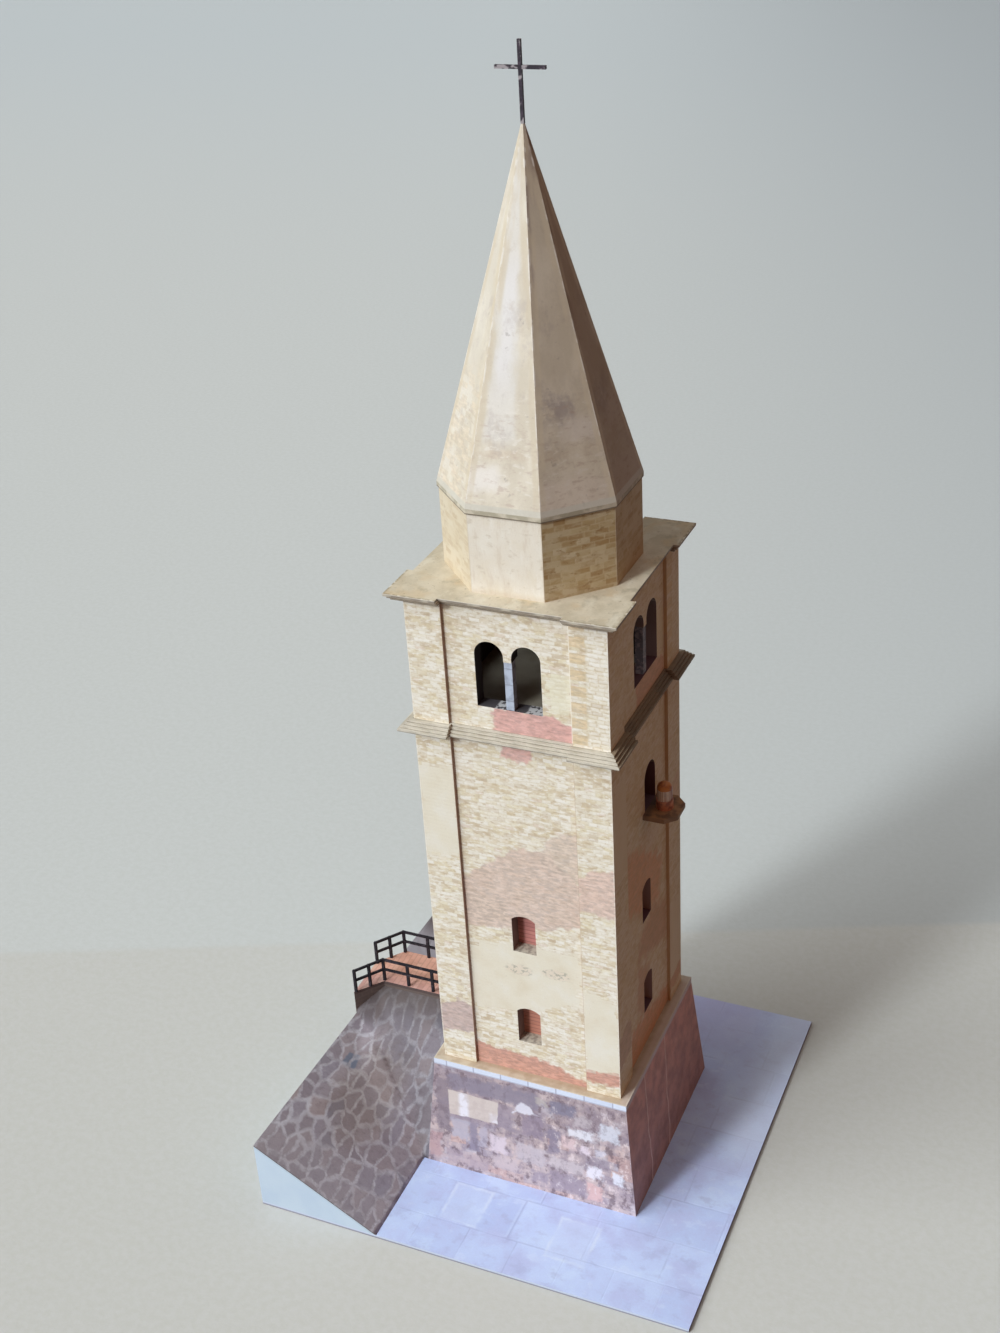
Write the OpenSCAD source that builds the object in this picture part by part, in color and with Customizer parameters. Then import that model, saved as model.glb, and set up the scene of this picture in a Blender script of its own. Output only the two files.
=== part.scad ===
// Card model of a square bell tower that carries a small harbour lamp.
// The origin is on the tower's axis, at the underside of the base card.

/* [Base card] */
// Distance from the tower's axis to the base card's left edge
base_left = 53; // [50:0.5:70]
// Distance from the tower's axis to the base card's right edge
base_right = 43.6; // [32:0.2:70]
// Depth of the base card, front to back
base_depth = 96; // [80:1:140]
// Thickness of the base card
base_t = 0.8; // [0.5:0.1:2]

/* [Stone slope] */
// Height of the slope's left edge above the paving, at the front
slope_front_h = 16.3; // [10:0.1:18]
// Height of the slope's left edge above the paving, at the back
slope_rear_h = 12.4; // [8:0.1:18]
// Distance from the plinth's foot out to the line where the slope meets the paving
slope_gap = 1; // [0.4:0.1:4]
// Upright thickness of the stone-faced sheet
slope_t = 0.8; // [0.5:0.1:1.5]
// Thickness of the cards under the sheet
slope_card_t = 0.8; // [0.5:0.1:1.5]

/* [Terrace] */
// Height of the deck above the paving
deck_h = 20; // [18.5:0.5:24]
// Front edge of the deck, measured behind the axis
deck_front = 6; // [2:0.5:10]
// Depth of the deck, front to back
deck_depth = 11.8; // [8:0.2:18]
// How far the deck's left end passes the base card's edge
deck_lap = 0.4; // [0.1:0.1:1]
// Length of the deck's turned left end, measured square to the base's edge
deck_end_w = 4.9; // [3:0.1:8]
// How far the deck's left end turns towards the front
deck_turn = 6; // [3:0.5:8]
// Thickness of the deck card
deck_t = 0.8; // [0.5:0.1:1.5]
// Thickness of the terrace walls
terrace_wall_t = 0.8; // [0.5:0.1:1.5]
// Drop from the deck to the stones at the deck's front edge
deck_drop = 1.5; // [1:0.25:4]

/* [Railings] */
// Height of the top rail above the deck
rail_h = 6.3; // [5:0.1:9]
// Height of the middle rail above the deck
rail_mid_h = 3.5; // [2:0.1:4.5]
// Width of the posts
post_w = 0.6; // [0.5:0.05:1.2]
// Thickness of the rails
rail_t = 0.5; // [0.4:0.05:1]
// Spacing of the posts along the straight part
post_pitch = 6.3; // [5:0.1:9]
// Distance from the deck's edge to the posts' outer side
post_inset = 0.1; // [0.1:0.05:1]

/* [Plinth] */
// Height of the plinth above the paving
plinth_h = 28.1; // [26:0.1:36]
// Width of the plinth at its foot
plinth_foot_w = 48.6; // [46:0.2:49.4]
// Width of the plinth at its top
plinth_top_w = 43.4; // [42:0.2:45]
// Thickness of the plinth walls
plinth_wall_t = 1.2; // [0.8:0.1:2]
// Thickness of the cap slab on the plinth
plinth_cap_t = 1.5; // [1:0.1:2.5]

/* [Shaft and belfry] */
// Width of the tower over its corner pilasters
tower_w = 40; // [38:0.2:41]
// Width of each corner pilaster
pilaster_w = 7.4; // [5:0.1:9]
// Projection of the pilasters from the wall
pilaster_t = 0.7; // [0.5:0.1:2]
// Thickness of the tower walls
wall_t = 3; // [2:0.1:4]
// Height of the middle cornice's underside above the paving
mid_cornice_h = 110.5; // [104:0.5:120]
// Height of the belfry, from the middle cornice to the top cornice
belfry_h = 26; // [25:0.5:34]

/* [Windows] */
// Width of the small windows
window_w = 5.1; // [4:0.1:7]
// Height of the small windows
window_h = 9.1; // [7:0.1:11]
// Rise of the segmental window heads
window_rise = 1; // [0.5:0.1:1.8]
// Sill of the lower windows above the paving
lower_sill_h = 36.6; // [34:0.2:42]
// Sill of the upper windows above the paving
upper_sill_h = 60.3; // [56:0.2:66]
// Margin of the shutter boards behind the wall
shutter_lap = 0.9; // [0.5:0.1:2]
// Thickness of the shutter boards
shutter_t = 0.6; // [0.4:0.1:1]

/* [Twin openings] */
// Width of each arched opening
arch_w = 5.8; // [4.6:0.1:6.6]
// Height of each opening, from the sill to the crown
arch_h = 14; // [10:0.2:16]
// Sill of the twin openings above the middle cornice
arch_sill = 4.8; // [4:0.2:8]
// Width of the small column between the openings
column_w = 1.6; // [1.4:0.1:2.6]
// Height of the small column
column_h = 10.2; // [7:0.2:11]
// How far the right face's pair of openings sits behind the face's middle
right_arch_shift = 1.8; // [0:0.1:3]
// Distance from the wall's face to the front of the column
column_inset = 0.2; // [0.1:0.1:0.8]

/* [Cornices] */
// Projection of the middle cornice from the pilasters
mid_cornice_out = 2.5; // [1.5:0.1:4]
// Projection of the top cornice's eave card from the pilasters
eave_out = 2.7; // [1.5:0.1:4]
// Thickness of one cornice card
cornice_t = 0.5; // [0.4:0.05:0.8]
// Step between one cornice card and the next
cornice_step = 0.5; // [0.3:0.05:0.9]
// How far a cornice breaks forward over the pilasters
cornice_break = 1.2; // [0.6:0.1:1.6]
// How far that break reaches past the pilaster's side
break_lap = 0.4; // [0.1:0.1:1.5]

/* [Drum and spire] */
// Width of the drum across its flats
drum_w = 34.6; // [32:0.2:37]
// Height of the drum
drum_h = 15.6; // [12:0.2:20]
// Thickness of the drum's walls
drum_wall_t = 1; // [0.6:0.1:2]
// Width of the spire's foot across its flats
spire_w = 35.2; // [34:0.2:38]
// Height of the band under the spire
spire_band_h = 1; // [0.6:0.1:2]
// Height of the spire to its point, above the band
spire_h = 64.2; // [50:0.2:80]
// Thickness of the spire's sides, measured level
spire_wall_t = 1; // [0.6:0.1:2]
// Thickness of the bars of the cross
cross_t = 0.6; // [0.5:0.05:1.2]
// Height of the cross above the spire's tip
cross_h = 13.4; // [10:0.2:18]
// Length of the arms of the cross, end to end
cross_arm_w = 9.1; // [6:0.1:12]
// Height of the arms above the spire's tip
cross_arm_h = 9; // [6:0.1:9.5]

/* [Lamp] */
// Top of the lamp's shelf above the paving, which is the sill of the lamp window
shelf_top_h = 86.4; // [84:0.2:92]
// Thickness of the shelf
shelf_t = 1; // [0.6:0.1:2]
// Projection of the shelf from the pilasters' face
shelf_out = 5.9; // [5:0.1:9]
// Width of the shelf
shelf_w = 9.2; // [7.6:0.2:12]
// Chamfer of the shelf's two outer corners
shelf_chamfer = 2.2; // [0.5:0.1:3]
// Place of the shelf, its window and the lamp, measured back from the axis
lamp_y = 3.1; // [-3:0.1:4]
// Width of the lamp window
lamp_window_w = 6.4; // [5:0.1:7]
// Height of the lamp window, to the crown of its arch
lamp_window_h = 10; // [8:0.2:12]
// Distance from the pilasters' face to the lamp's axis
lamp_out = 2.4; // [2:0.1:3.4]
// Diameter of the lamp's base
lamp_base_d = 3.5; // [2.5:0.1:4.5]
// Height of the lamp's base
lamp_base_h = 2; // [1:0.1:3]
// Diameter of the lens and of the dome on it
lamp_lens_d = 3.1; // [1.8:0.1:3.4]
// Height of the lens
lamp_lens_h = 2.4; // [1:0.1:3]

/* [Hidden] */
$fn = 48;
// Extra length of a cutter past the face that it cuts
over = 1;

// Heights measured from the underside of the base card
plinth_top = base_t + plinth_h;
plinth_cap_z = plinth_top - plinth_cap_t;
mid_z = base_t + mid_cornice_h;
mid_cards = 4;
belfry_z = mid_z + mid_cards * cornice_t;
top_z = belfry_z + belfry_h;
top_cards = 2;
eave_z = top_z + top_cards * cornice_t;
eave_top = eave_z + cornice_t;
drum_top = eave_top + drum_h;
spire_z = drum_top + spire_band_h;
deck_top = base_t + deck_h;
shelf_top = base_t + shelf_top_h;

// Half widths of the tower
half_w = tower_w / 2;
wall_out = half_w - pilaster_t;
wall_in = wall_out - wall_t;
foot_half = plinth_foot_w / 2;
slope_toe = foot_half + slope_gap;
top_half = plinth_top_w / 2;

// Corner of an octagon from its width across the flats
function oct_r(flats) = flats / 2 / cos(22.5);

// Outline of the deck from above, starting at the plinth's front end
deck_back = deck_front + deck_depth;
deck_end = base_left + deck_lap;
deck_reach = deck_end - deck_end_w;
deck_outline = [
    [-half_w, deck_front],
    [-deck_reach, deck_front],
    [-deck_end, deck_front - deck_turn],
    [-deck_end, deck_back - deck_turn],
    [-deck_reach, deck_back],
    [-half_w, deck_back]
];

// Point where two lines, each moved inwards by t, cross beside the corner b
function unit(v) = v / norm(v);
function inward(a, b) = let (d = unit(b - a)) [d[1], -d[0]];
function inset_corner(a, b, c, t) =
    let (m = inward(a, b), n = inward(b, c))
    b + t * (m + n) / (1 + m * n);
function inset(pts, t) = [
    for (i = [0 : len(pts) - 1])
        inset_corner(pts[(i + len(pts) - 1) % len(pts)], pts[i], pts[(i + 1) % len(pts)], t)
];

// Prism along Y with its outline in the XZ plane
module along_y(y0, y1) {
    translate([0, y1, 0]) rotate([90, 0, 0]) linear_extrude(y1 - y0) children();
}

// Prism along X with its outline in the YZ plane
module along_x(x0, x1) {
    translate([x0, 0, 0]) rotate([90, 0, 90]) linear_extrude(x1 - x0) children();
}

// Turn the children from the front to another face: 1 right, 2 back, 3 left
module on_face(i) {
    rotate(90 * i) children();
}

// Trapezium of a battered wall seen square on, moved in by t at each side
module batter_outline(t) {
    polygon([
        [-foot_half + t, base_t], [foot_half - t, base_t],
        [top_half + batter_lean - t, plinth_cap_z], [-top_half - batter_lean + t, plinth_cap_z]
    ]);
}

// Lean of the plinth's face over the height of its cap
batter_lean = (foot_half - top_half) * plinth_cap_t / plinth_h;
cap_half = top_half + batter_lean;

// Whole mass of the plinth, used as a cutter
module plinth_mass() {
    intersection() {
        along_x(-base_left, base_left) batter_outline(0);
        along_y(-base_left, base_left) batter_outline(0);
    }
}

module base_card() {
    color("lightsteelblue")
        translate([-base_left, -base_depth / 2, 0])
            cube([base_left + base_right, base_depth, base_t]);
}

// Outline of the main slope seen from the front, for one height of its left edge
module slope_outline(h) {
    polygon([[-base_left, base_t], [-slope_toe, base_t], [-base_left, base_t + h]]);
}

// Space under the main slope, which falls towards the back along its left edge
module main_slope_mass() {
    hull() {
        along_y(-base_depth / 2, over - base_depth / 2) slope_outline(slope_front_h);
        along_y(base_depth / 2 - over, base_depth / 2) slope_outline(slope_rear_h);
    }
}

// Space under the top of the stone slope
module slope_mass() {
    main_slope_mass();
    along_x(-base_left, -top_half)
        polygon([
            [-foot_half, base_t], [deck_front, base_t],
            [deck_front, deck_top - deck_drop]
        ]);
}

module terrace_block() {
    linear_extrude(deck_top + over) polygon(deck_outline);
}

module slope_stones() {
    color("dimgray")
        difference() {
            slope_mass();
            translate([0, 0, -slope_t]) slope_mass();
            translate([-base_left, -base_depth, -over])
                cube([base_left, 2 * base_depth, base_t + over]);
            plinth_mass();
            terrace_block();
        }
}

// Triangular card that closes one end of the slope, under the stone-faced sheet
module slope_end(h) {
    toe = slope_toe + (base_left - slope_toe) * slope_t / h;
    along_y(0, slope_card_t)
        polygon([[-base_left, base_t], [-toe, base_t], [-base_left, base_t + h - slope_t]]);
}

module slope_front_end() {
    color("aliceblue") translate([0, -base_depth / 2, 0]) slope_end(slope_front_h);
}

module slope_rear_end() {
    color("aliceblue") translate([0, base_depth / 2 - slope_card_t, 0]) slope_end(slope_rear_h);
}

// Upright card along the slope's left edge, in front of the terrace and behind it
module slope_left_wall() {
    front = -base_depth / 2 + slope_card_t;
    back = -front;
    color("aliceblue")
        difference() {
            along_x(-base_left, -base_left + slope_card_t)
                polygon([
                    [front, base_t], [back, base_t],
                    [back, left_wall_top(back)], [front, left_wall_top(front)]
                ]);
            terrace_block();
        }
}

// Top of the left wall at y, just under the sheet where it leaves the wall's inner side
function left_edge_h(y) =
    slope_front_h + (slope_rear_h - slope_front_h) * (y / base_depth + 0.5);
function left_wall_top(y) =
    base_t + left_edge_h(y) * (1 - slope_card_t / (base_left - slope_toe)) - slope_t;

module terrace_walls() {
    color("saddlebrown")
        difference() {
            translate([0, 0, base_t]) linear_extrude(deck_h - deck_t) difference() {
                polygon(deck_outline);
                polygon(inset(deck_outline, terrace_wall_t));
            }
            plinth_mass();
        }
}

module terrace_deck() {
    color("lightsalmon")
        difference() {
            translate([0, 0, deck_top - deck_t]) linear_extrude(deck_t) polygon(deck_outline);
            plinth_mass();
        }
}

// Bar of square section between two points on the same level
module rail(a, b, z) {
    d = b - a;
    translate([a[0], a[1], z])
        rotate(atan2(d[1], d[0]))
            translate([-rail_t / 2, -rail_t / 2, -rail_t])
                cube([norm(d) + rail_t, rail_t, rail_t]);
}

module post(p) {
    translate([p[0] - post_w / 2, p[1] - post_w / 2, deck_top]) cube([post_w, post_w, rail_h]);
}

// Railing with its corner at y, which turns towards the front at its left end
module railing(y) {
    start = -foot_half;
    corner = [-deck_reach, y];
    tip = [-deck_end + post_w / 2 + post_inset, y - deck_turn];
    straight = floor((deck_reach + start) / post_pitch);
    for (i = [0 : straight])
        post([-deck_reach + i * post_pitch, y]);
    post((corner + tip) / 2);
    post(tip);
    for (z = [deck_top + rail_h, deck_top + rail_mid_h]) {
        rail(corner, [start, y], z);
        rail(corner, tip, z);
    }
}

module front_railing() {
    color("black") railing(deck_front + post_w / 2 + post_inset);
}

module rear_railing() {
    color("black") railing(deck_back - post_w / 2 - post_inset);
}

// Front or back plinth wall, as wide as the plinth
module plinth_long_wall() {
    intersection() {
        along_y(-base_left, 0) batter_outline(0);
        along_x(-base_left, base_left) difference() {
            batter_outline(0);
            batter_outline(plinth_wall_t);
        }
    }
}

// Side plinth wall, fitted between the front and back walls
module plinth_side_wall() {
    intersection() {
        along_y(-base_left, 0) batter_outline(plinth_wall_t);
        along_x(-base_left, base_left) difference() {
            batter_outline(0);
            batter_outline(plinth_wall_t);
        }
    }
}

module plinth_front() { color("rosybrown") plinth_long_wall(); }
module plinth_right() { color("rosybrown") on_face(1) plinth_side_wall(); }
module plinth_back() { color("rosybrown") on_face(2) plinth_long_wall(); }
module plinth_left() { color("rosybrown") on_face(3) plinth_side_wall(); }

module plinth_cap() {
    color("lightsteelblue")
        translate([-cap_half, -cap_half, plinth_cap_z])
            cube([2 * cap_half, 2 * cap_half, plinth_cap_t]);
}

// Opening with a segmental head, standing on the origin
module window_outline() {
    r = (window_w * window_w / 4 + window_rise * window_rise) / 2 / window_rise;
    translate([-window_w / 2, 0]) square([window_w, window_h - window_rise]);
    intersection() {
        translate([0, window_h - r]) circle(r);
        translate([-window_w / 2, 0]) square([window_w, window_h]);
    }
}

// Opening with a half-round head, standing on the origin
module arch_outline(w, h) {
    translate([-w / 2, 0]) square([w, h - w / 2]);
    translate([0, h - w / 2]) circle(d = w);
}

// Cutter through the front wall with the children as its outline
module wall_cut(z) {
    translate([0, 0, z]) along_y(-half_w - over, -wall_in + over) children();
}

// Wall slab on the front face between two heights
module wall_slab(z0, z1, half) {
    translate([-half, -wall_out, z0]) cube([2 * half, wall_t, z1 - z0]);
}

// Shaft wall with its two small windows
module shaft_wall(half) {
    difference() {
        wall_slab(plinth_top, mid_z, half);
        wall_cut(base_t + lower_sill_h) window_outline();
        wall_cut(base_t + upper_sill_h) window_outline();
    }
}

module shaft_front() { color("wheat") shaft_wall(wall_out); }
module shaft_back() { color("wheat") on_face(2) shaft_wall(wall_out); }
module shaft_left() { color("wheat") on_face(3) shaft_wall(wall_in); }

module shaft_right() {
    color("wheat")
        difference() {
            on_face(1) shaft_wall(wall_in);
            on_face(1) wall_cut(shelf_top)
                translate([lamp_y, 0]) arch_outline(lamp_window_w, lamp_window_h);
        }
}

// L-shaped corner strip on the front left corner
module pilaster(z0, z1) {
    translate([0, 0, z0]) linear_extrude(z1 - z0)
        polygon([
            [-half_w, -half_w], [-half_w + pilaster_w, -half_w],
            [-half_w + pilaster_w, -wall_out], [-wall_out, -wall_out],
            [-wall_out, -half_w + pilaster_w], [-half_w, -half_w + pilaster_w]
        ]);
}

module shaft_pilaster(i) {
    color("cornsilk") on_face(i) pilaster(plinth_top, mid_z);
}

module shaft_pilaster_fl() { shaft_pilaster(0); }
module shaft_pilaster_fr() { shaft_pilaster(1); }
module shaft_pilaster_br() { shaft_pilaster(2); }
module shaft_pilaster_bl() { shaft_pilaster(3); }

// Pair of shutter boards against the inside of one wall
module shutters() {
    for (sill = [lower_sill_h, upper_sill_h])
        translate([-window_w / 2 - shutter_lap, -wall_in, base_t + sill - shutter_lap])
            cube([window_w + 2 * shutter_lap, shutter_t, window_h + 2 * shutter_lap]);
}

module front_shutters() { color("indianred") shutters(); }
module right_shutters() { color("indianred") on_face(1) shutters(); }
module back_shutters() { color("indianred") on_face(2) shutters(); }
module left_shutters() { color("indianred") on_face(3) shutters(); }

// Cornice card: a plate that breaks forward over each pilaster
module cornice_card(out, z) {
    broken = half_w + out;
    main = broken - cornice_break;
    side = half_w - pilaster_w - break_lap;
    translate([0, 0, z]) linear_extrude(cornice_t) union() {
        square(2 * main, center = true);
        for (i = [0 : 3])
            rotate(90 * i) translate([side, side]) square(broken - side);
    }
}

// Two neighbouring cards of the middle cornice, which narrows upwards; i counts from the lowest
module mid_cornice_pair(i) {
    color("tan")
        for (k = [i, i + 1])
            cornice_card(mid_cornice_out - k * cornice_step, mid_z + k * cornice_t);
}

module mid_cornice_lower() { mid_cornice_pair(0); }
module mid_cornice_upper() { mid_cornice_pair(2); }

// Two arched openings with the space for the small column between them
module twin_outline() {
    for (side = [-1, 1])
        translate([side * (arch_w + column_w) / 2, 0]) arch_outline(arch_w, arch_h);
    translate([-column_w / 2 - over, 0]) square([column_w + 2 * over, column_h]);
}

module belfry_wall(half, shift = 0) {
    difference() {
        wall_slab(belfry_z, top_z, half);
        wall_cut(belfry_z + arch_sill) translate([shift, 0]) twin_outline();
    }
}

module belfry_front() { color("wheat") belfry_wall(wall_out); }
module belfry_right() { color("wheat") on_face(1) belfry_wall(wall_in, right_arch_shift); }
module belfry_back() { color("wheat") on_face(2) belfry_wall(wall_out); }
module belfry_left() { color("wheat") on_face(3) belfry_wall(wall_in); }

module belfry_pilaster(i) {
    color("cornsilk") on_face(i) pilaster(belfry_z, top_z);
}

module belfry_pilaster_fl() { belfry_pilaster(0); }
module belfry_pilaster_fr() { belfry_pilaster(1); }
module belfry_pilaster_br() { belfry_pilaster(2); }
module belfry_pilaster_bl() { belfry_pilaster(3); }

// Small column in each pair of openings, near the outer face
module belfry_columns() {
    color("lavender")
        for (i = [0 : 3])
            on_face(i)
                translate([i == 1 ? right_arch_shift : 0, -wall_out + column_inset, belfry_z + arch_sill])
                    translate([-column_w / 2, 0, 0])
                        cube([column_w, column_w, column_h]);
}

module top_cornice() {
    color("tan") {
        cornice_card(eave_out - 2 * cornice_step, top_z);
        cornice_card(eave_out - cornice_step, top_z + cornice_t);
    }
}

module eave_plate() {
    color("burlywood") cornice_card(eave_out, eave_z);
}

// Octagonal prism with its flats square to the tower's faces
module octagon(flats) {
    rotate(22.5) circle(r = oct_r(flats), $fn = 8);
}

module drum() {
    color("wheat")
        translate([0, 0, eave_top]) linear_extrude(drum_h) difference() {
            octagon(drum_w);
            octagon(drum_w - 2 * drum_wall_t);
        }
}

module spire_band() {
    color("gray") translate([0, 0, drum_top]) linear_extrude(spire_band_h) octagon(spire_w);
}

// Pyramid with a flat tip just wide enough for the cross
module spire_cone(flats, h) {
    tip = cross_t;
    rotate(22.5) cylinder(r1 = oct_r(flats), r2 = oct_r(tip), h = h * (1 - tip / flats), $fn = 8);
}

spire_tip = spire_z + spire_h * (1 - cross_t / spire_w);

module spire() {
    hollow_w = spire_w - 2 * spire_wall_t;
    color("wheat")
        translate([0, 0, spire_z]) difference() {
            spire_cone(spire_w, spire_h);
            spire_cone(hollow_w, spire_h * hollow_w / spire_w);
        }
}

module cross() {
    color("black")
        translate([0, 0, spire_tip]) {
            translate([-cross_t / 2, -cross_t / 2, 0]) cube([cross_t, cross_t, cross_h]);
            translate([-cross_arm_w / 2, -cross_t / 2, cross_arm_h - cross_t / 2])
                cube([cross_arm_w, cross_t, cross_t]);
        }
}

// Shelf as wide as shelf_w, with its two outer corners cut off
module lamp_shelf() {
    reach = half_w + shelf_out;
    side = shelf_w / 2;
    color("gray")
        translate([0, lamp_y, shelf_top - shelf_t]) linear_extrude(shelf_t)
            polygon([
                [wall_out, -side], [reach - shelf_chamfer, -side], [reach, -side + shelf_chamfer],
                [reach, side - shelf_chamfer], [reach - shelf_chamfer, side], [wall_out, side]
            ]);
}

// Put the children on the lamp's axis, at a height above the shelf
module at_lamp(z) {
    translate([half_w + lamp_out, lamp_y, shelf_top + z]) children();
}

module lamp_base() {
    color("orangered") at_lamp(0) cylinder(d = lamp_base_d, h = lamp_base_h);
}

module lamp_lens() {
    color("white") at_lamp(lamp_base_h) cylinder(d = lamp_lens_d, h = lamp_lens_h);
}

module lamp_dome() {
    color("orangered")
        at_lamp(lamp_base_h + lamp_lens_h) intersection() {
            sphere(d = lamp_lens_d);
            translate([0, 0, lamp_lens_d / 2]) cube(lamp_lens_d, center = true);
        }
}

base_card();
slope_stones();
slope_front_end();
slope_rear_end();
slope_left_wall();
terrace_walls();
terrace_deck();
front_railing();
rear_railing();
plinth_front();
plinth_right();
plinth_back();
plinth_left();
plinth_cap();
shaft_front();
shaft_right();
shaft_back();
shaft_left();
shaft_pilaster_fl();
shaft_pilaster_fr();
shaft_pilaster_br();
shaft_pilaster_bl();
front_shutters();
right_shutters();
back_shutters();
left_shutters();
mid_cornice_lower();
mid_cornice_upper();
belfry_front();
belfry_right();
belfry_back();
belfry_left();
belfry_pilaster_fl();
belfry_pilaster_fr();
belfry_pilaster_br();
belfry_pilaster_bl();
belfry_columns();
top_cornice();
eave_plate();
drum();
spire_band();
spire();
cross();
lamp_shelf();
lamp_base();
lamp_lens();
lamp_dome();
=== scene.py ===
"""Looks for the card model of a bell tower with a small harbour lamp."""

import math

import bmesh
import bpy
from mathutils import Matrix, Vector


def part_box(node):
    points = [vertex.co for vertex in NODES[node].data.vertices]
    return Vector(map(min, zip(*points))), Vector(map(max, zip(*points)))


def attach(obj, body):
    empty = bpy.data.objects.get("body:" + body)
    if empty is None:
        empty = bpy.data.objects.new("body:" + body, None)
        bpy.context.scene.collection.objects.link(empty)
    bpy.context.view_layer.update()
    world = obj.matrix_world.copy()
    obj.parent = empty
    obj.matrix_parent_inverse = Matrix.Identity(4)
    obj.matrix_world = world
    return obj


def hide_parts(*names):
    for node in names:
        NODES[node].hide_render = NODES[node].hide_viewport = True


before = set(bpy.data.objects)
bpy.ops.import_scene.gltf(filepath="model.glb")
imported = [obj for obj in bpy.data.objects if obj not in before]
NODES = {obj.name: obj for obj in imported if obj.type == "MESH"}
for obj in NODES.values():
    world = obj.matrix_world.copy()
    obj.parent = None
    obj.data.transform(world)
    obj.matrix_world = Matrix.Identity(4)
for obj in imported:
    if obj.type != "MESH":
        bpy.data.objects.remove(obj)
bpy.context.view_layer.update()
MM = 0.001


# ---- colours

def rgb(r, g, b):
    """Linear colour from display values of 0 to 255."""
    def linear(v):
        v = v / 255
        return v / 12.92 if v <= 0.04045 else ((v + 0.055) / 1.055) ** 2.4
    return (linear(r), linear(g), linear(b))


# ---- places in millimetres, from the frame where it gives them

def low_high(node):
    low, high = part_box(node)
    return low / MM, high / MM


BASE_LOW, BASE_HIGH = low_high("base_card")
PAVING = BASE_HIGH.z
CAP_HALF, _, PLINTH_TOP = low_high("plinth_cap")[1]
HALF_W = low_high("shaft_pilaster_fr")[1].x
WALL_OUT = low_high("shaft_right")[1].x
SIDE = -low_high("shaft_pilaster_fr")[0].y
MID_Z = low_high("shaft_front")[1].z
CARD = (low_high("mid_cornice_lower")[1].z - MID_Z) / 2
BELFRY_Z = low_high("belfry_front")[0].z
TOP_Z = low_high("belfry_front")[1].z
EAVE_Z = low_high("eave_plate")[0].z
EAVE_HALF, _, EAVE_TOP = low_high("eave_plate")[1]
DRUM_HALF = -low_high("drum")[0].y
DRUM_TOP = low_high("drum")[1].z
SPIRE_Z, SPIRE_TIP = (end.z for end in low_high("spire"))
SPIRE_HALF = -low_high("spire")[0].y
SLOPE_LEFT = low_high("slope_stones")[0].x
SLOPE_TOE = -25.3
EDGE_FRONT, EDGE_REAR = 16.3, 12.4  # heights of the slope's left edge
RAMP_FOOT, RAMP_H = 24.3, 18.5
DECK_FRONT = 6
PILASTER_IN = 12.6
EIGHTH = math.tan(math.radians(22.5))  # half a side of an octagon whose half width is 1
LAMP_WINDOW_FOOT = 80
BOARD, QUOIN, CAP_BLOCK = 0.95, 3.4, 6.3  # shutter board, corner stone, plinth cap's stone
LONGEST_EDGE, SPLIT_ROUNDS = 1.6, 7  # of the slope's mesh
BEND_TIGHT, BEND_SOFT, BEND_REACH = 0.3, 7, 10


# ---- node graph helper

def math_op(kind):
    """A method that does one kind of sum."""
    return lambda self, *others: self.graph.math(kind, self, *others)


class Flow:
    """What comes out of a node's socket."""

    def __init__(self, graph, socket):
        self.graph, self.socket = graph, socket


class Val(Flow):
    """A number, with arithmetic."""

    __add__ = __radd__ = math_op("ADD")
    __sub__, __mul__, __truediv__ = map(math_op, ("SUBTRACT", "MULTIPLY", "DIVIDE"))
    floor, fract, abs = map(math_op, ("FLOOR", "FRACT", "ABSOLUTE"))
    sign, sqrt = map(math_op, ("SIGN", "SQRT"))
    min, max = map(math_op, ("MINIMUM", "MAXIMUM"))

    def __rsub__(self, other):
        return self.graph.math("SUBTRACT", other, self)

    def __neg__(self):
        return self * -1

    def above(self, low, high):
        """0 below low, 1 above high, smooth between them."""
        inputs = {"Value": self, "From Min": low, "From Max": high}
        made = self.graph.node("ShaderNodeMapRange", inputs, interpolation_type="SMOOTHSTEP")
        return Val(self.graph, made.outputs[0])

    def below(self, low, high):
        """1 below low, 0 above high."""
        return 1 - self.above(low, high)

    def between(self, low, high, soft):
        return self.above(low - soft, low + soft) * self.below(high - soft, high + soft)


class Paint(Flow):
    """A colour that takes further coats."""

    def over(self, tint, factor, kind="MIX"):
        """Lay a tint over the colour, as far as the factor goes."""
        self.socket = self.graph.mix(self, tint, factor, kind).socket

    def lay(self, red, green, blue, factor):
        """The same with display values of 0 to 255."""
        self.over(rgb(red, green, blue), factor)

    def shade(self, amount):
        """Multiply the colour by a number."""
        self.socket = self.graph.shade(self, amount).socket


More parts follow.
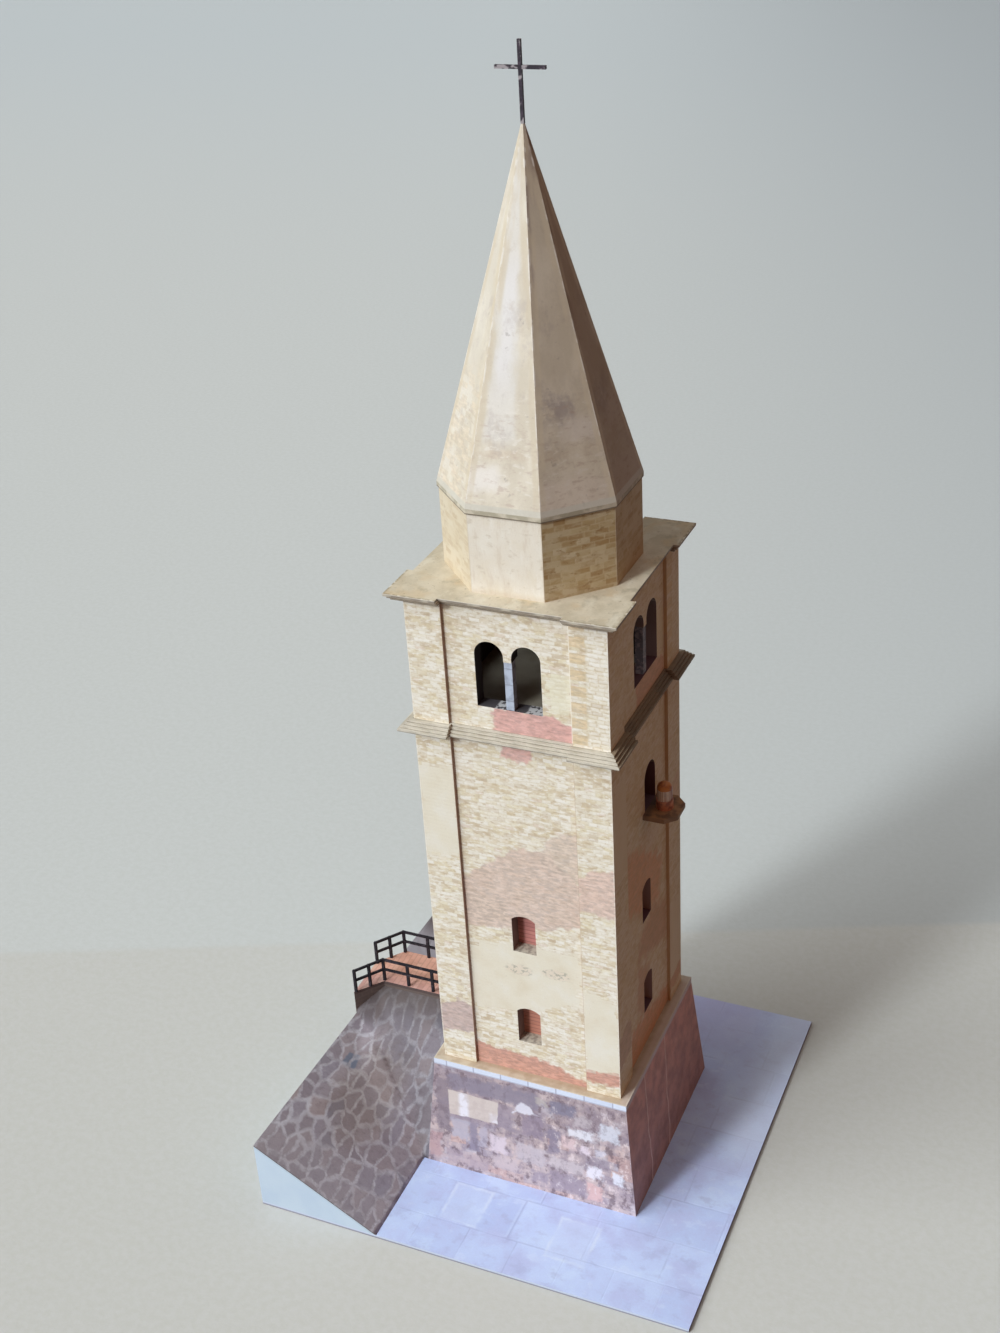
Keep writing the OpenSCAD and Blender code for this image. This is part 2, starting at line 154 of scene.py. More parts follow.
class Graph:
    """One material, built in millimetres of the shared frame."""

    def __init__(self, name):
        self.material = bpy.data.materials.new(name)
        self.material.use_nodes = True
        self.tree = self.material.node_tree
        self.shader = self.tree.nodes["Principled BSDF"]
        place = self.node("ShaderNodeTexCoord").outputs["Object"]
        self.x, self.y, self.z = [part * (1 / MM) for part in self.parts(place)]
        normal = self.node("ShaderNodeNewGeometry").outputs["True Normal"]
        self.nx, self.ny, self.nz = self.parts(normal)

    def node(self, kind, inputs=None, **settings):
        made = self.tree.nodes.new(kind)
        for key, value in settings.items():
            setattr(made, key, value)
        for key, value in (inputs or {}).items():
            self.feed(made.inputs[key], value)
        return made

    def feed(self, socket, value):
        if isinstance(value, Flow):
            self.tree.links.new(value.socket, socket)
        elif isinstance(value, bpy.types.NodeSocket):
            self.tree.links.new(value, socket)
        elif isinstance(value, tuple) and len(socket.default_value) == 4:
            socket.default_value = (*value, 1)
        else:
            socket.default_value = value

    def math(self, kind, *values):
        made = self.node("ShaderNodeMath", dict(enumerate(values)), operation=kind)
        return Val(self, made.outputs[0])

    def parts(self, vector):
        split = self.node("ShaderNodeSeparateXYZ", {0: vector})
        return [Val(self, part) for part in split.outputs]

    def vec(self, x, y, z=0):
        return self.node("ShaderNodeCombineXYZ", {0: x, 1: y, 2: z}).outputs[0]

    def noise(self, x, y, z, scale, detail=3, roughness=0.5):
        made = self.node("ShaderNodeTexNoise", {
            "Vector": self.vec(x, y, z), "Scale": scale, "Detail": detail, "Roughness": roughness})
        return Val(self, made.outputs[0])

    def cloud(self, *settings):
        """Noise in all three directions."""
        return self.noise(self.x, self.y, self.z, *settings)

    def ground(self, seed, *settings):
        """Noise over the ground, the same at every height; seed picks another one."""
        return self.noise(self.x, self.y, seed, *settings)

    def wall(self, across, up, seed, *settings):
        """Noise on a wall, squeezed across and up; each side has its own."""
        return self.noise(
            self.along() * across, self.z * up, self.face() + seed, *settings)

    def white(self, x, y=0, z=0):
        made = self.node("ShaderNodeTexWhiteNoise", {"Vector": self.vec(x, y, z)})
        return Val(self, made.outputs["Value"])

    def mix(self, a, b, factor, kind="MIX"):
        inputs = {0: factor, 6: a, 7: b}
        made = self.node("ShaderNodeMix", inputs, data_type="RGBA", blend_type=kind)
        return Paint(self, made.outputs[2])

    def shade(self, colour, amount):
        """Colour times a number."""
        return self.mix(colour, self.vec(amount, amount, amount), 1, "MULTIPLY")

    def ramp(self, factor, stops):
        made = self.node("ShaderNodeValToRGB", {0: factor})
        points = made.color_ramp.elements
        for point, (place, colour) in zip(points, (stops[0], stops[-1])):
            point.position, point.color = place, (*colour, 1)
        for place, colour in stops[1:-1]:
            points.new(place).color = (*colour, 1)
        return Paint(self, made.outputs[0])

    def done(self, colour, roughness, height, specular=0.35):
        """Wire the finished colour, roughness and height in millimetres into the shader."""
        self.feed(self.shader.inputs["Base Color"], colour)
        self.feed(self.shader.inputs["Roughness"], roughness)
        self.shader.inputs["Specular IOR Level"].default_value = specular
        bump = self.node("ShaderNodeBump", {"Height": height, "Distance": MM})
        self.tree.links.new(bump.outputs[0], self.shader.inputs["Normal"])
        return self.material

    def printed(self, colour, roughness, pressed=0, grain=0.05, specular=0.35):
        """Finish printed card, pressed in by so many millimetres."""
        colour.shade(self.grain(grain))
        return self.done(colour, roughness, self.fibre() - pressed, specular)

    # -- shared pieces of print

    def looks_up(self):
        return self.nz.above(0.4, 0.6)

    def looks_down(self):
        return self.nz.below(-0.6, -0.4)

    def looks_right(self):
        return self.nx.above(0.5, 0.8)

    def along(self):
        """Distance along a wall, to the right as seen from outside."""
        level = (self.nx * self.nx + self.ny * self.ny).sqrt().max(0.001)
        return (self.y * self.nx - self.x * self.ny) / level

    def out(self):
        """Distance of a wall's face from the tower's axis, negative inside."""
        return self.x * self.nx + self.y * self.ny

    def along_flat(self):
        """The same on a level face, along the nearest wall."""
        long = (self.y.abs() - self.x.abs()).above(-0.01, 0.01)
        short = (long - 1) * -1
        return short * self.y * self.x.sign() - long * self.x * self.y.sign()

    def face(self):
        """A number for each side, so that sides differ."""
        return self.nx * 3.3 + self.ny * 7.1 + self.nz * 1.7

    def grain(self, amount):
        """Slight unevenness of printed card."""
        fine = self.cloud(3)
        return 1 + (fine - 0.5) * (2 * amount)

    def fibre(self):
        """Height of the card's fibres."""
        return self.cloud(5) * 0.012


class Bricks:
    """Brick print: joints, tones and the centre of each brick."""

    def __init__(self, g, course, length, joint=(0, 0.26), axes=None):
        u, z = axes or (g.along(), g.z)
        seed = g.face()
        sway = g.noise(u, z, seed, 0.12, 1) - 0.5
        rows = (z + sway * 0.9) / course
        row = rows.floor()
        shift = g.white(row, seed) * 3
        columns = u / length + shift + (g.noise(u, row, seed, 0.6, 0) - 0.5) * 0.7
        column = columns.floor()
        across, up = columns - column, rows - row
        gap = (across.min(1 - across) * length).min(up.min(1 - up) * course)
        self.joint = gap.below(*joint)
        self.tone = g.white(column, row, seed)
        self.tint = g.white(column, row, seed + 3)
        self.u = (column + 0.5 - shift) * length
        self.z = (row + 0.5) * course


def region(g, u, z, corners, ragged=1, soft=0.25, size=0.45):
    """1 inside a convex outline, given anticlockwise as seen from outside."""
    depth = None
    for (u0, z0), (u1, z1) in zip(corners, corners[1:] + corners[:1]):
        run = math.hypot(u1 - u0, z1 - z0)
        side = (u - u0) * ((z0 - z1) / run) + (z - z0) * ((u1 - u0) / run)
        depth = side if depth is None else depth.min(side)
    rough = g.noise(u, z, g.face(), size, 2) - 0.5
    return (depth + rough * (2 * ragged)).above(-soft, soft)


def spot(g, u, z, centre, half_u, half_z, soft=0.5):
    """Soft oval stain."""
    du, dz = (u - centre[0]) / half_u, (z - centre[1]) / half_z
    rough = g.noise(u, z, 4, 0.9)
    return (du * du + dz * dz + (rough - 0.5) * 1.6).below(1 - soft, 1 + soft)


# ---- brick prints of the tower

CREAM = rgb(231, 224, 208)
WHITE_BRICK = rgb(243, 239, 230)
YELLOW = rgb(228, 217, 186)
OCHRE = rgb(209, 190, 156)
TAN = rgb(193, 171, 140)
PALE_PINK = rgb(222, 204, 190)
JOINT = rgb(212, 200, 174)
PLASTER = rgb(230, 223, 205)
PINK = rgb(208, 162, 156)
RIGHT_PINK = rgb(212, 186, 174)
ROSE = rgb(206, 184, 172)
GREY_ROSE = rgb(206, 188, 174)
PURPLE = rgb(190, 168, 164)
RED_BAND = rgb(197, 146, 131)
# Near-black brown for inner faces: painted shade inside the hollow card.
INSIDE_SHADE = rgb(42, 34, 34)
STRIP = rgb(188, 160, 144)
# Strip colour for the shaded right side, warmer than STRIP: painted shade.
SHADE_SIDE_STRIP = rgb(196, 162, 122)
# Dark grey-brown for reveals and undersides: partly the card's colour, partly painted shade in the
# recesses.
REVEAL_SHADE = rgb(130, 114, 108)
SILL = rgb(196, 188, 172)
# Warmer brown for the faces turned to the right: painted shade.
SHADE_SIDE_CARD = rgb(222, 190, 140)
# Dark sill colour for the shaded right side: painted shade.
SHADED_SILL = rgb(104, 72, 78)


def brick_colour(g, b, warmth):
    """Cream brick with ochre and tan bricks, softly printed."""
    body = g.ramp(b.tone, (
        (0, WHITE_BRICK), (0.26, CREAM), (0.44, YELLOW), (0.58, OCHRE),
        (0.68, CREAM), (0.82, TAN), (0.91, YELLOW), (1, PALE_PINK),
    ))
    body.over(CREAM, 0.26 - warmth)
    streak = g.wall(0.16, 0.42, 0, 1, 3, 0.6)
    body.over(OCHRE, streak.above(0.5 - warmth, 0.74 - warmth) * 0.48)
    pale = g.wall(0.13, 0.3, 9, 1, 2)
    body.over(WHITE_BRICK, pale.above(0.46, 0.66) * 0.5)
    body.over(JOINT, b.joint * 0.38)
    dash = g.wall(0.7, 1.8, 0, 1, 3, 0.6)
    body.over(TAN, dash.above(0.53, 0.68) * 0.62)
    return g.mix(body, WHITE_BRICK, dash.below(0.34, 0.48) * 0.75)


def patched(g, b, ink, mask, tint, strength=0.85):
    """Another colour inside a mask, with faint bricks and pale and dark dashes."""
    dash = g.wall(0.55, 1.5, 5, 1, 3, 0.6)
    tinted = g.shade(tint, 0.9 + b.tone * 0.17)
    tinted.over(g.shade(tint, 1.27), dash.above(0.5, 0.6) * 0.85)
    tinted.over(g.shade(tint, 0.76), dash.below(0.38, 0.46) * 0.8)
    tinted.over(g.shade(tint, 1.16), b.joint * 0.35)
    return g.mix(ink, tinted, mask * strength)


def plastered(g, ink, mask, tint=PLASTER):
    """Plain plaster inside a mask, with soft clouds and fine stains."""
    cloud = g.wall(0.16, 0.16, 0, 1, 4, 0.6)
    coat = g.mix(tint, rgb(220, 208, 184), cloud.above(0.48, 0.75) * 0.6)
    coat.lay(234, 230, 219, cloud.below(0.3, 0.5) * 0.6)
    fleck = g.wall(1, 1, 0, 1.4)
    coat.lay(204, 192, 174, fleck.above(0.64, 0.78) * 0.5)
    return g.mix(ink, coat, mask)


# distances from the tower's axis under which a face is a strip, a reveal, an inner face
STRIP_OUT, REVEAL_OUT, INNER_OUT = 16, 10, -13


def tower_faces(g, printed):
    """The print on the outer faces and plainer card on strips; painted shade on reveals,
    undersides, inner faces and sills; painted light on the belfry sills and the right side's
    reveals.
    """
    out = g.out()
    upright = g.nz.abs().below(0.4, 0.6)
    # The right side, in shade, takes its own painted-shade and painted-light copies of colours
    # below.
    shaded_side = g.x.above(WALL_OUT - 3.6, WALL_OUT - 3.4)
    belfry = g.z.above(MID_Z, MID_Z + 1)
    worn = g.noise(g.x, g.y, g.z * 0.3, 0.5).above(0.42, 0.6)
    # On the shaded right side the strips take the warmer painted-shade copy, except in worn spots
    # at the belfry.
    strip = g.mix(STRIP, g.mix(SHADE_SIDE_STRIP, STRIP, worn * g.z.above(90, 116)), shaded_side)
    ink = g.mix(printed, strip, out.below(STRIP_OUT - 1, STRIP_OUT) * upright)
    # On the shaded right side the reveals take their own copy: paler than elsewhere as painted
    # light, and darker round the lamp window as painted shade.
    lamp_window = g.z.above(LAMP_WINDOW_FOOT, LAMP_WINDOW_FOOT + 2)
    shaded_side_reveal = g.mix(rgb(158, 130, 120), rgb(112, 82, 88), lamp_window)
    shaded_side_reveal.lay(122, 102, 100, belfry)
    reveal = g.mix(g.mix(REVEAL_SHADE, INSIDE_SHADE, belfry), shaded_side_reveal, shaded_side)
    ink.over(reveal, out.abs().below(REVEAL_OUT - 1, REVEAL_OUT) * upright)
    # Inner faces painted near-black: painted shade.
    ink.over(INSIDE_SHADE, out.below(INNER_OUT - 1, INNER_OUT) * upright)
    mottle = g.ground(0, 1.1).above(0.42, 0.62)
    sill = g.mix(SILL, rgb(156, 146, 134), mottle)
    u = g.along_flat()
    # Belfry sills painted dark as shade, with painted light on the right part of each opening,
    # where light falls through.
    sunlit_sill = u.between(-3.1, -0.95, 0.2).max(u.between(3.1, 6.75, 0.3)) * mottle.below(0.5, 0.9)
    sill.over(g.mix(rgb(74, 70, 74), rgb(190, 189, 190), sunlit_sill), belfry)
    # Sills on the shaded right side: painted shade.
    sill.over(SHADED_SILL, shaded_side)
    ink.over(sill, g.looks_up())
    # Undersides painted dark: painted shade.
    ink.over(REVEAL_SHADE, g.looks_down())
    return ink


def corner_wear(g, ink):
    """Paper showing pale along the folded corners."""
    edge = (HALF_W - g.along().abs()).below(0.05, 0.35)
    broken = g.cloud(1.2, 2).above(0.4, 0.55)
    return g.mix(ink, rgb(238, 233, 220), edge * broken * 0.7)


def wall_print(g, patches, plaster, warmth=0, soft=0.4):
    """Brick, coloured patches and plaster; gives the bricks and the colour."""
    u, z = g.along(), g.z
    b = Bricks(g, 0.85, 1.9)
    ink = brick_colour(g, b, warmth)
    for corners, tint, strength in patches:
        mask = region(g, u, z, corners, 1.1 + soft, soft, 0.55)
        ink = patched(g, b, ink, mask, tint, strength)
    for corners in plaster:
        ink = plastered(g, ink, region(g, b.u, b.z, corners, 1.6, 0.6, 0.3))
    return b, ink


def finish_wall(g, b, ink):
    # Faces turned to the right are browned: painted shade.
    ink.over(SHADE_SIDE_CARD, g.looks_right() * 0.45)
    ink.shade(g.grain(0.05))
    ink = tower_faces(g, ink)
    rough = 0.58 + g.cloud(0.8, 2) * 0.18
    outside = g.out().above(STRIP_OUT - 1, STRIP_OUT)
    return g.done(ink, rough, g.fibre() - b.joint * outside * 0.012)


# outlines in millimetres on a wall: distance to the right of its middle, height
SHAFT_PATCHES = (
    (((-15, 64.6), (2.4, 67.8), (13.6, 70.7), (13.6, 79.5), (6.4, 86.5), (-0.4, 87.3),
      (-4.3, 84), (-15, 75.6)), ROSE, 0.8),
    (((4.6, 84), (13.6, 80.5), (13.6, 93.2), (7.4, 91.4), (5, 88)), GREY_ROSE, 0.8),
    (((-15, 66), (-3, 68), (-4, 74), (-15, 73)), GREY_ROSE, 0.6),
    (((-15, 28), (13.6, 28), (13.6, 32.6), (4, 33.2), (-5, 36.8), (-15, 36.6)),
     RED_BAND, 0.9),
    (((-2.4, 107.6), (1.2, 106.9), (3.8, 108), (3.8, 112), (-2.4, 112)), PINK, 0.8),
)
SHAFT_PLASTER = (
    ((-12.8, 44), (-2.1, 45.6), (3, 47.2), (12, 51), (12, 65.8), (-2.8, 62.8),
     (-12.8, 62.4)),
)
RIGHT_PATCHES = (
    (((-16, 72), (-3.3, 64.6), (7.4, 59.6), (10, 70.2), (-2.6, 79.6), (-16.7, 87)),
     rgb(214, 142, 116), 0.75),
    (((-6, 54.2), (0.4, 51.1), (12.6, 47.3), (12.6, 56.4), (5.3, 61.1), (-3.6, 59.5)),
     rgb(186, 136, 124), 0.8),
    (((-6.7, 40.9), (1.9, 33), (0.3, 48.4), (-6.1, 52.4)), rgb(186, 136, 124), 0.7),
    (((-17, 28), (13, 28), (12.4, 36.4), (-4.6, 37.3), (-17, 40)),
     rgb(206, 126, 104), 0.85),
)
PILASTER_PATCHES = (
    (((-20.4, 35.8), (-12.4, 37.6), (-12, 44.2), (-15.9, 45.2), (-20.4, 42.8)), PURPLE, 0.85),
    (((12.2, 75.6), (20.4, 74.6), (20.4, 86.2), (15, 85.4), (12.2, 82)), RIGHT_PINK, 0.85),
    (((11, 31.4), (20.4, 31.8), (20.4, 35.6), (11, 34.2)), RED_BAND, 0.9),
)
PILASTER_PLASTER = (
    ((-20.4, 81.8), (-12, 82.8), (-12, 103.6), (-20.4, 103.2)),
    ((12, 34.6), (20.4, 35.7), (20.4, 53.4), (12, 55.6)),
)


def paint_shaft_front():
    g = Graph("shaft_front_print")
    b, ink = wall_print(g, SHAFT_PATCHES, SHAFT_PLASTER)
    u, z = g.along(), g.z
    bits = g.noise(u, z * 1.3, 6, 1, 3, 0.6).above(0.48, 0.6)
    for centre in ((-1.6, 56.4), (6.3, 57.2)):
        near = spot(g, u, z, centre, 3, 1.3)
        ink.lay(168, 164, 150, near * bits * 0.75)
        ink.lay(226, 208, 192, near * (1 - bits) * 0.4)
    fold = (u - (PILASTER_IN - 0.25)).abs().below(0.05, 0.22)
    ink.lay(184, 164, 142, fold * 0.6)
    return finish_wall(g, b, ink)


def paint_shaft_right():
    g = Graph("shaft_right_print")
    return finish_wall(g, *wall_print(g, RIGHT_PATCHES, (), 0.08, 1.6))


def paint_shaft_pilaster():
    g = Graph("shaft_pilaster_print")
    b, ink = wall_print(g, PILASTER_PATCHES, PILASTER_PLASTER)
    return finish_wall(g, b, corner_wear(g, ink))


BELFRY_PATCHES = (
    (((-3.6, 111), (15, 111), (15, 115.8), (8.4, 118.3), (-3.6, 118.3)), PINK, 0.9),
)


def paint_belfry_wall():
    g = Graph("belfry_wall_print")
    b, ink = wall_print(g, BELFRY_PATCHES, ())
    pale = region(g, b.u, b.z, ((7.8, 119), (12.6, 119), (12.6, 127.5), (7.8, 127.5)), 0.8)
    ink.lay(232, 228, 204, pale * 0.6)
    fold = (g.along() - (PILASTER_IN - 0.3)).abs().below(0.05, 0.25)
    ink.lay(240, 236, 224, fold * 0.7)
    return finish_wall(g, b, ink)


def paint_belfry_pilaster():
    g = Graph("belfry_pilaster_print")
    b, ink = wall_print(g, (), ())
    u = g.along()
    quoin = (g.z / QUOIN + g.face()).fract().above(0.35, 0.4)
    inner = u.between(12.4, 15.6, 0.2) * quoin
    ink = patched(g, b, ink, inner, rgb(211, 189, 153), 0.7)
    ink.over(WHITE_BRICK, u.above(15.6, 16.2) * (1 - b.joint) * 0.45)
    return finish_wall(g, b, corner_wear(g, ink))


# ---- windows, columns

def paint_shutter():
    g = Graph("shutter_print")
    board = (g.z / BOARD).fract()
    line = board.min(1 - board).below(0.05, 0.16)
    lower = g.z.below(50, 52)
    ink = g.mix(rgb(196, 130, 124), rgb(208, 142, 122), lower)
    tone = g.white((g.z / BOARD).floor(), g.face())
    ink.shade(0.84 + tone * 0.3)
    cloud = g.wall(0.5, 1, 0, 0.9)
    ink.lay(206, 152, 136, cloud.above(0.5, 0.72) * 0.5)
    ink.lay(138, 82, 76, line * 0.5)
    return g.printed(ink, 0.6, line * 0.03)


def paint_column():
    g = Graph("column_print")
    cloud = g.cloud(0.6)
    ink = g.mix(rgb(186, 196, 213), rgb(154, 162, 178), cloud.above(0.42, 0.66))
    drum = ((g.z - BELFRY_Z) / QUOIN).fract()
    ink.lay(130, 134, 148, drum.min(1 - drum).below(0.02, 0.06) * 0.5)
    # The column on the shaded right side is painted dark: painted shade.
    worn = g.cloud(1.6, 2).above(0.5, 0.6)
    shaded_side = g.mix(rgb(86, 76, 82), rgb(136, 122, 124), worn)
    ink.over(shaded_side, g.x.above(WALL_OUT - 6, WALL_OUT - 5) * 0.85)
    return g.printed(ink, 0.55)


# ---- cornices, eave, drum, spire

def paint_cornice(name, foot, pale, joint):
    """Stack of cards: tan tops with a fine printed line, pale cut edges with dark joints, and a
    painted shadow over the right side.
    """
    g = Graph(name)
    u = g.along()
    layer = (g.z - foot) / CARD
    up = layer.fract()
    streak = g.noise(u * 0.35, layer.floor(), g.face(), 1)
    edge = g.mix(pale, g.shade(pale, 0.8), streak.above(0.42, 0.66))
    edge.lay(112, 100, 86, up.below(0.16, 0.34) * joint)
    spread = g.noise(g.x * 0.22, g.y * 0.22, 2, 1, 4)
    top = g.mix(rgb(214, 207, 194), rgb(192, 183, 166), spread.above(0.4, 0.68))
    reach = g.x.abs().max(g.y.abs())
    centre = g.x.abs().min(g.y.abs()).below(SIDE - 0.6, SIDE - 0.4)
    from_wall = reach - (centre * WALL_OUT + (1 - centre) * HALF_W)
    broken = g.noise(g.x * 0.3, g.y * 0.3, 8, 1).above(0.36, 0.5)
    top.lay(122, 110, 92, from_wall.between(0.9, 1.15, 0.08) * broken * 0.5)
    top.lay(120, 108, 88, from_wall.below(0.1, 0.25) * 0.6)
    ink = g.mix(edge, top, g.looks_up())
    # The right side of the cornice, tops and edges, painted dark olive-brown: painted shadow of the
    # tower.
    shaded_side = (g.x - g.y.abs()).above(-0.1, 0.1)
    painted_shadow = g.mix(rgb(112, 92, 69), rgb(134, 112, 86), spread.above(0.44, 0.6))
    ink.over(painted_shadow, shaded_side * 0.85)
    ink.lay(150, 132, 112, g.looks_down())
    return g.printed(ink, 0.65, grain=0.07)


def paint_eave():
    g = Graph("eave_print")
    cloud = g.ground(0, 0.11, 5, 0.62)
    top = g.mix(rgb(217, 205, 183), rgb(197, 184, 160), cloud.above(0.4, 0.62))
    warm = g.ground(7, 0.16)
    top.lay(208, 186, 152, warm.above(0.5, 0.66) * 0.7)
    olive = g.ground(3, 0.3, 5, 0.6)
    top.lay(166, 156, 132, olive.above(0.54, 0.7) * 0.55)
    pale = g.noise(g.x * 1.4, g.y * 0.7, 13, 0.25, 4)
    top.lay(228, 220, 202, pale.above(0.56, 0.7) * 0.55)
    fleck = g.ground(21, 1.2)
    top.lay(148, 128, 100, fleck.above(0.62, 0.74) * 0.5)
    rim = EAVE_HALF - g.x.abs().max(g.y.abs())
    worn = g.ground(5, 0.8)
    top.lay(150, 134, 108, rim.below(0.1, 0.6) * worn.below(0.46, 0.58) * 0.7)
    top.lay(232, 228, 216, rim.below(0.05, 0.35) * worn.above(0.5, 0.6) * 0.8)
    u = g.along()
    streak = g.noise(u * 0.3, 0, g.face(), 1)
    edge = g.mix(rgb(146, 136, 124), rgb(188, 180, 164), streak.above(0.46, 0.64))
    edge.lay(220, 214, 200, (g.z - EAVE_Z).above(0.34, 0.42))
    ink = g.mix(edge, top, g.looks_up())
    ink.lay(210, 205, 192, g.looks_down())
    return g.printed(ink, 0.62, grain=0.06)


def paint_drum():
    """Plain plaster on the front and back faces, ochre brick on the other six, with painted shade
    on the faces turned to the right and inside.
    """
    g = Graph("drum_print")
    u, z = g.along(), g.z
    b = Bricks(g, 1.15, 2.7)
    ink = g.ramp(b.tone, (
        (0, rgb(226, 214, 190)), (0.3, rgb(216, 200, 168)), (0.52, rgb(194, 168, 126)),
        (0.66, rgb(214, 198, 164)), (0.84, rgb(184, 154, 112)), (1, rgb(220, 206, 178)),
    ))
    ink.lay(222, 208, 180, b.joint * 0.6)
    soft = g.wall(0.35, 0.7, 0, 1, 4, 0.6)
    ink.lay(224, 212, 186, soft.above(0.46, 0.62) * 0.5)
    ink.lay(182, 152, 110, soft.below(0.32, 0.46) * 0.45)
    blot = g.wall(0.5, 0.9, 2, 1, 4, 0.65)
    ink.lay(158, 122, 74, blot.above(0.56, 0.7) * 0.65)
    left = g.nx.below(-0.5, -0.3)
    ink.lay(206, 194, 172, left * 0.6)
    # Faces turned to the right are darkened, the right face most: painted shade.
    ink.over((0.84, 0.81, 0.72), g.nx.above(0.3, 0.5), "MULTIPLY")
    ink.lay(180, 148, 112, g.nx.above(0.8, 0.95) * 0.4)
    plain = g.ny.abs().above(0.85, 0.95)
    ink = plastered(g, ink, plain, rgb(228, 220, 206))
    run = g.noise(u * 1.2, z * 0.3, 4, 0.5, 4, 0.65)
    ink.lay(210, 196, 178, run.above(0.5, 0.66) * plain * 0.5)
    ink.lay(238, 233, 224, run.below(0.32, 0.44) * plain * 0.5)
    smear = g.noise(u, z * 1.4, 14, 0.5, 4, 0.6).above(0.56, 0.7)
    ink.lay(196, 182, 162, smear * plain * 0.45)
    foot = (z - EAVE_TOP).below(0, 1.6)
    ink.lay(192, 172, 142, foot * 0.35)
    fold = (DRUM_HALF * EIGHTH - u.abs()).below(0.05, 0.25)
    ink.lay(204, 190, 166, fold * 0.5)
    # Inner faces painted near-black: painted shade.
    ink.over(INSIDE_SHADE, g.out().below(0, 1))
    return g.printed(ink, 0.6, b.joint * (1 - plain) * 0.012)


def paint_spire_band():
    g = Graph("spire_band_print")
    cloud = g.cloud(0.5, 4)
    ink = g.mix(rgb(206, 197, 178), rgb(176, 168, 148), cloud.above(0.38, 0.6))
    up = (g.z - DRUM_TOP).fract()
    ink.lay(104, 92, 78, up.below(0.16, 0.26) * 0.8)
    return g.printed(ink, 0.65, grain=0.07)


def paint_spire():
    """Plaster with a whitish streak up each side, a worn course near the foot, smoke, and painted
    shade on the sides towards the right.
    """
    g = Graph("spire_print")
    u, z = g.along(), g.z
    rise = (z - SPIRE_Z) / (SPIRE_TIP - SPIRE_Z)
    half = (1 - rise).max(0.01) * (SPIRE_HALF * EIGHTH)
    t = u / half
    front = g.ny.abs().above(0.85, 0.95)
    # These mark the sides towards the right, where the whitish marks are painted fainter and the
    # colour darker and browner: painted shade.
    east = g.nx.above(0.3, 0.5)
    shaded_side = g.nx.above(0.8, 0.9)
    sunny = front * 0.6 + 0.25
    cloud = g.wall(0.16, 0.09, 0, 1, 5, 0.62)
    ink = g.mix(rgb(219, 210, 193), rgb(206, 196, 178), cloud.above(0.38, 0.6))
    ragged = g.wall(1, 0.5, 0, 0.4, 4) - 0.5
    across = t + ragged * 0.8
    streak = across.between(-0.78, 0.28, 0.2) * (rise + ragged * 0.06).above(0.17, 0.21)
    ink.lay(217, 213, 207, streak * sunny * (1 - east * 0.7) * 0.85)
    bright = across.between(-0.52, 0.12, 0.18) * rise.between(0.34, 0.66, 0.07)
    ink.lay(227, 225, 227, bright * front * 0.5)
    foot = (rise + ragged * 0.04).between(0.055, 0.125, 0.018) * across.between(-1.3, -0.15, 0.25)
    ink.lay(228, 222, 215, foot * sunny * (1 - east * 0.7))
    smoke = g.wall(0.8, 0.6, 5, 0.34, 5, 0.66)
    course = (rise + ragged * 0.02).between(0.146, 0.17, 0.008)
    ink.lay(196, 177, 156, course * smoke.above(0.4, 0.56) * (0.25 + front * 0.3))
    high = rise.between(0.1, 0.62, 0.06)
    ink.lay(178, 166, 160, smoke.above(0.52, 0.66) * high * 0.35)
    ink = spire_smoke(g, ink, east, rise + ragged * 0.07, t + ragged * 0.5, smoke)
    stain = g.wall(1.4, 1, 2, 0.3, 5, 0.65)
    ink.lay(190, 176, 160, stain.above(0.56, 0.72) * 0.45)
    smudge = g.wall(0.45, 1.1, 8, 1, 4, 0.62)
    ink.lay(186, 166, 152, smudge.above(0.54, 0.68) * rise.below(0.24, 0.36) * 0.55)
    ink.lay(228, 222, 214, smudge.below(0.34, 0.44) * rise.below(0.24, 0.36) * 0.45)
    speck = g.wall(1, 1, 0, 0.75)
    ink.lay(146, 134, 130, speck.above(0.66, 0.76) * rise.below(0.5, 0.6) * 0.45)
    b = Bricks(g, 1.1, 2.4)
    brick = rise.below(0.3, 0.4) * (1 - front) * (1 - east)
    ink = patched(g, b, ink, brick * b.tint.above(0.35, 0.45), rgb(206, 190, 166), 0.45)
    # Painted shade on the sides towards the right.
    ink.lay(150, 126, 108, shaded_side * 0.5)
    ink.over((0.85, 0.82, 0.79), east, "MULTIPLY")
    ink.over((1, 0.97, 0.9), shaded_side, "MULTIPLY")
    border = (1 - t.abs()) * half
    warm = border.below(0.9, 1.5) * g.wall(1, 0.25, 0, 0.5).above(0.36, 0.56)
    ink.lay(204, 190, 166, warm * 0.6)
    torn = g.noise(u, z, 3, 0.5).above(0.46, 0.6)
    ink.lay(230, 226, 218, border.below(0.06, 0.24) * torn * 0.6)
    ink.lay(196, 192, 180, (z - SPIRE_Z).below(0.9, 1.2) * 0.75)
    # Faces turned down, inside the spire, painted near-black: painted shade.
    ink.over(INSIDE_SHADE, g.nz.below(-0.1, 0))
    rough = 0.42 + cloud * 0.2
    return g.printed(ink, rough, specular=0.45)


def spire_smoke(g, ink, east, rise, t, smoke):
    """Grey and whitish clouds on the sides towards the right, a dark tip."""
    grey = rise.between(0.235, 0.335, 0.025) * t.below(0.1, 0.8)
    ink.lay(158, 148, 148, grey * smoke.above(0.4, 0.58) * east * 0.6)
    pale = rise.between(0.185, 0.245, 0.02) * t.above(-0.4, 0.2)
    ink.lay(226, 218, 212, pale * east * 0.5)
    ink.lay(226, 214, 204, rise.below(0.07, 0.11) * east * 0.45)
    fold = t.below(-0.9, -0.65) * rise.above(0.35, 0.6)
    ink.lay(140, 120, 120, fold * east * 0.5)
    return g.mix(ink, rgb(138, 114, 108), rise.above(0.76, 0.92) * east * 0.6)


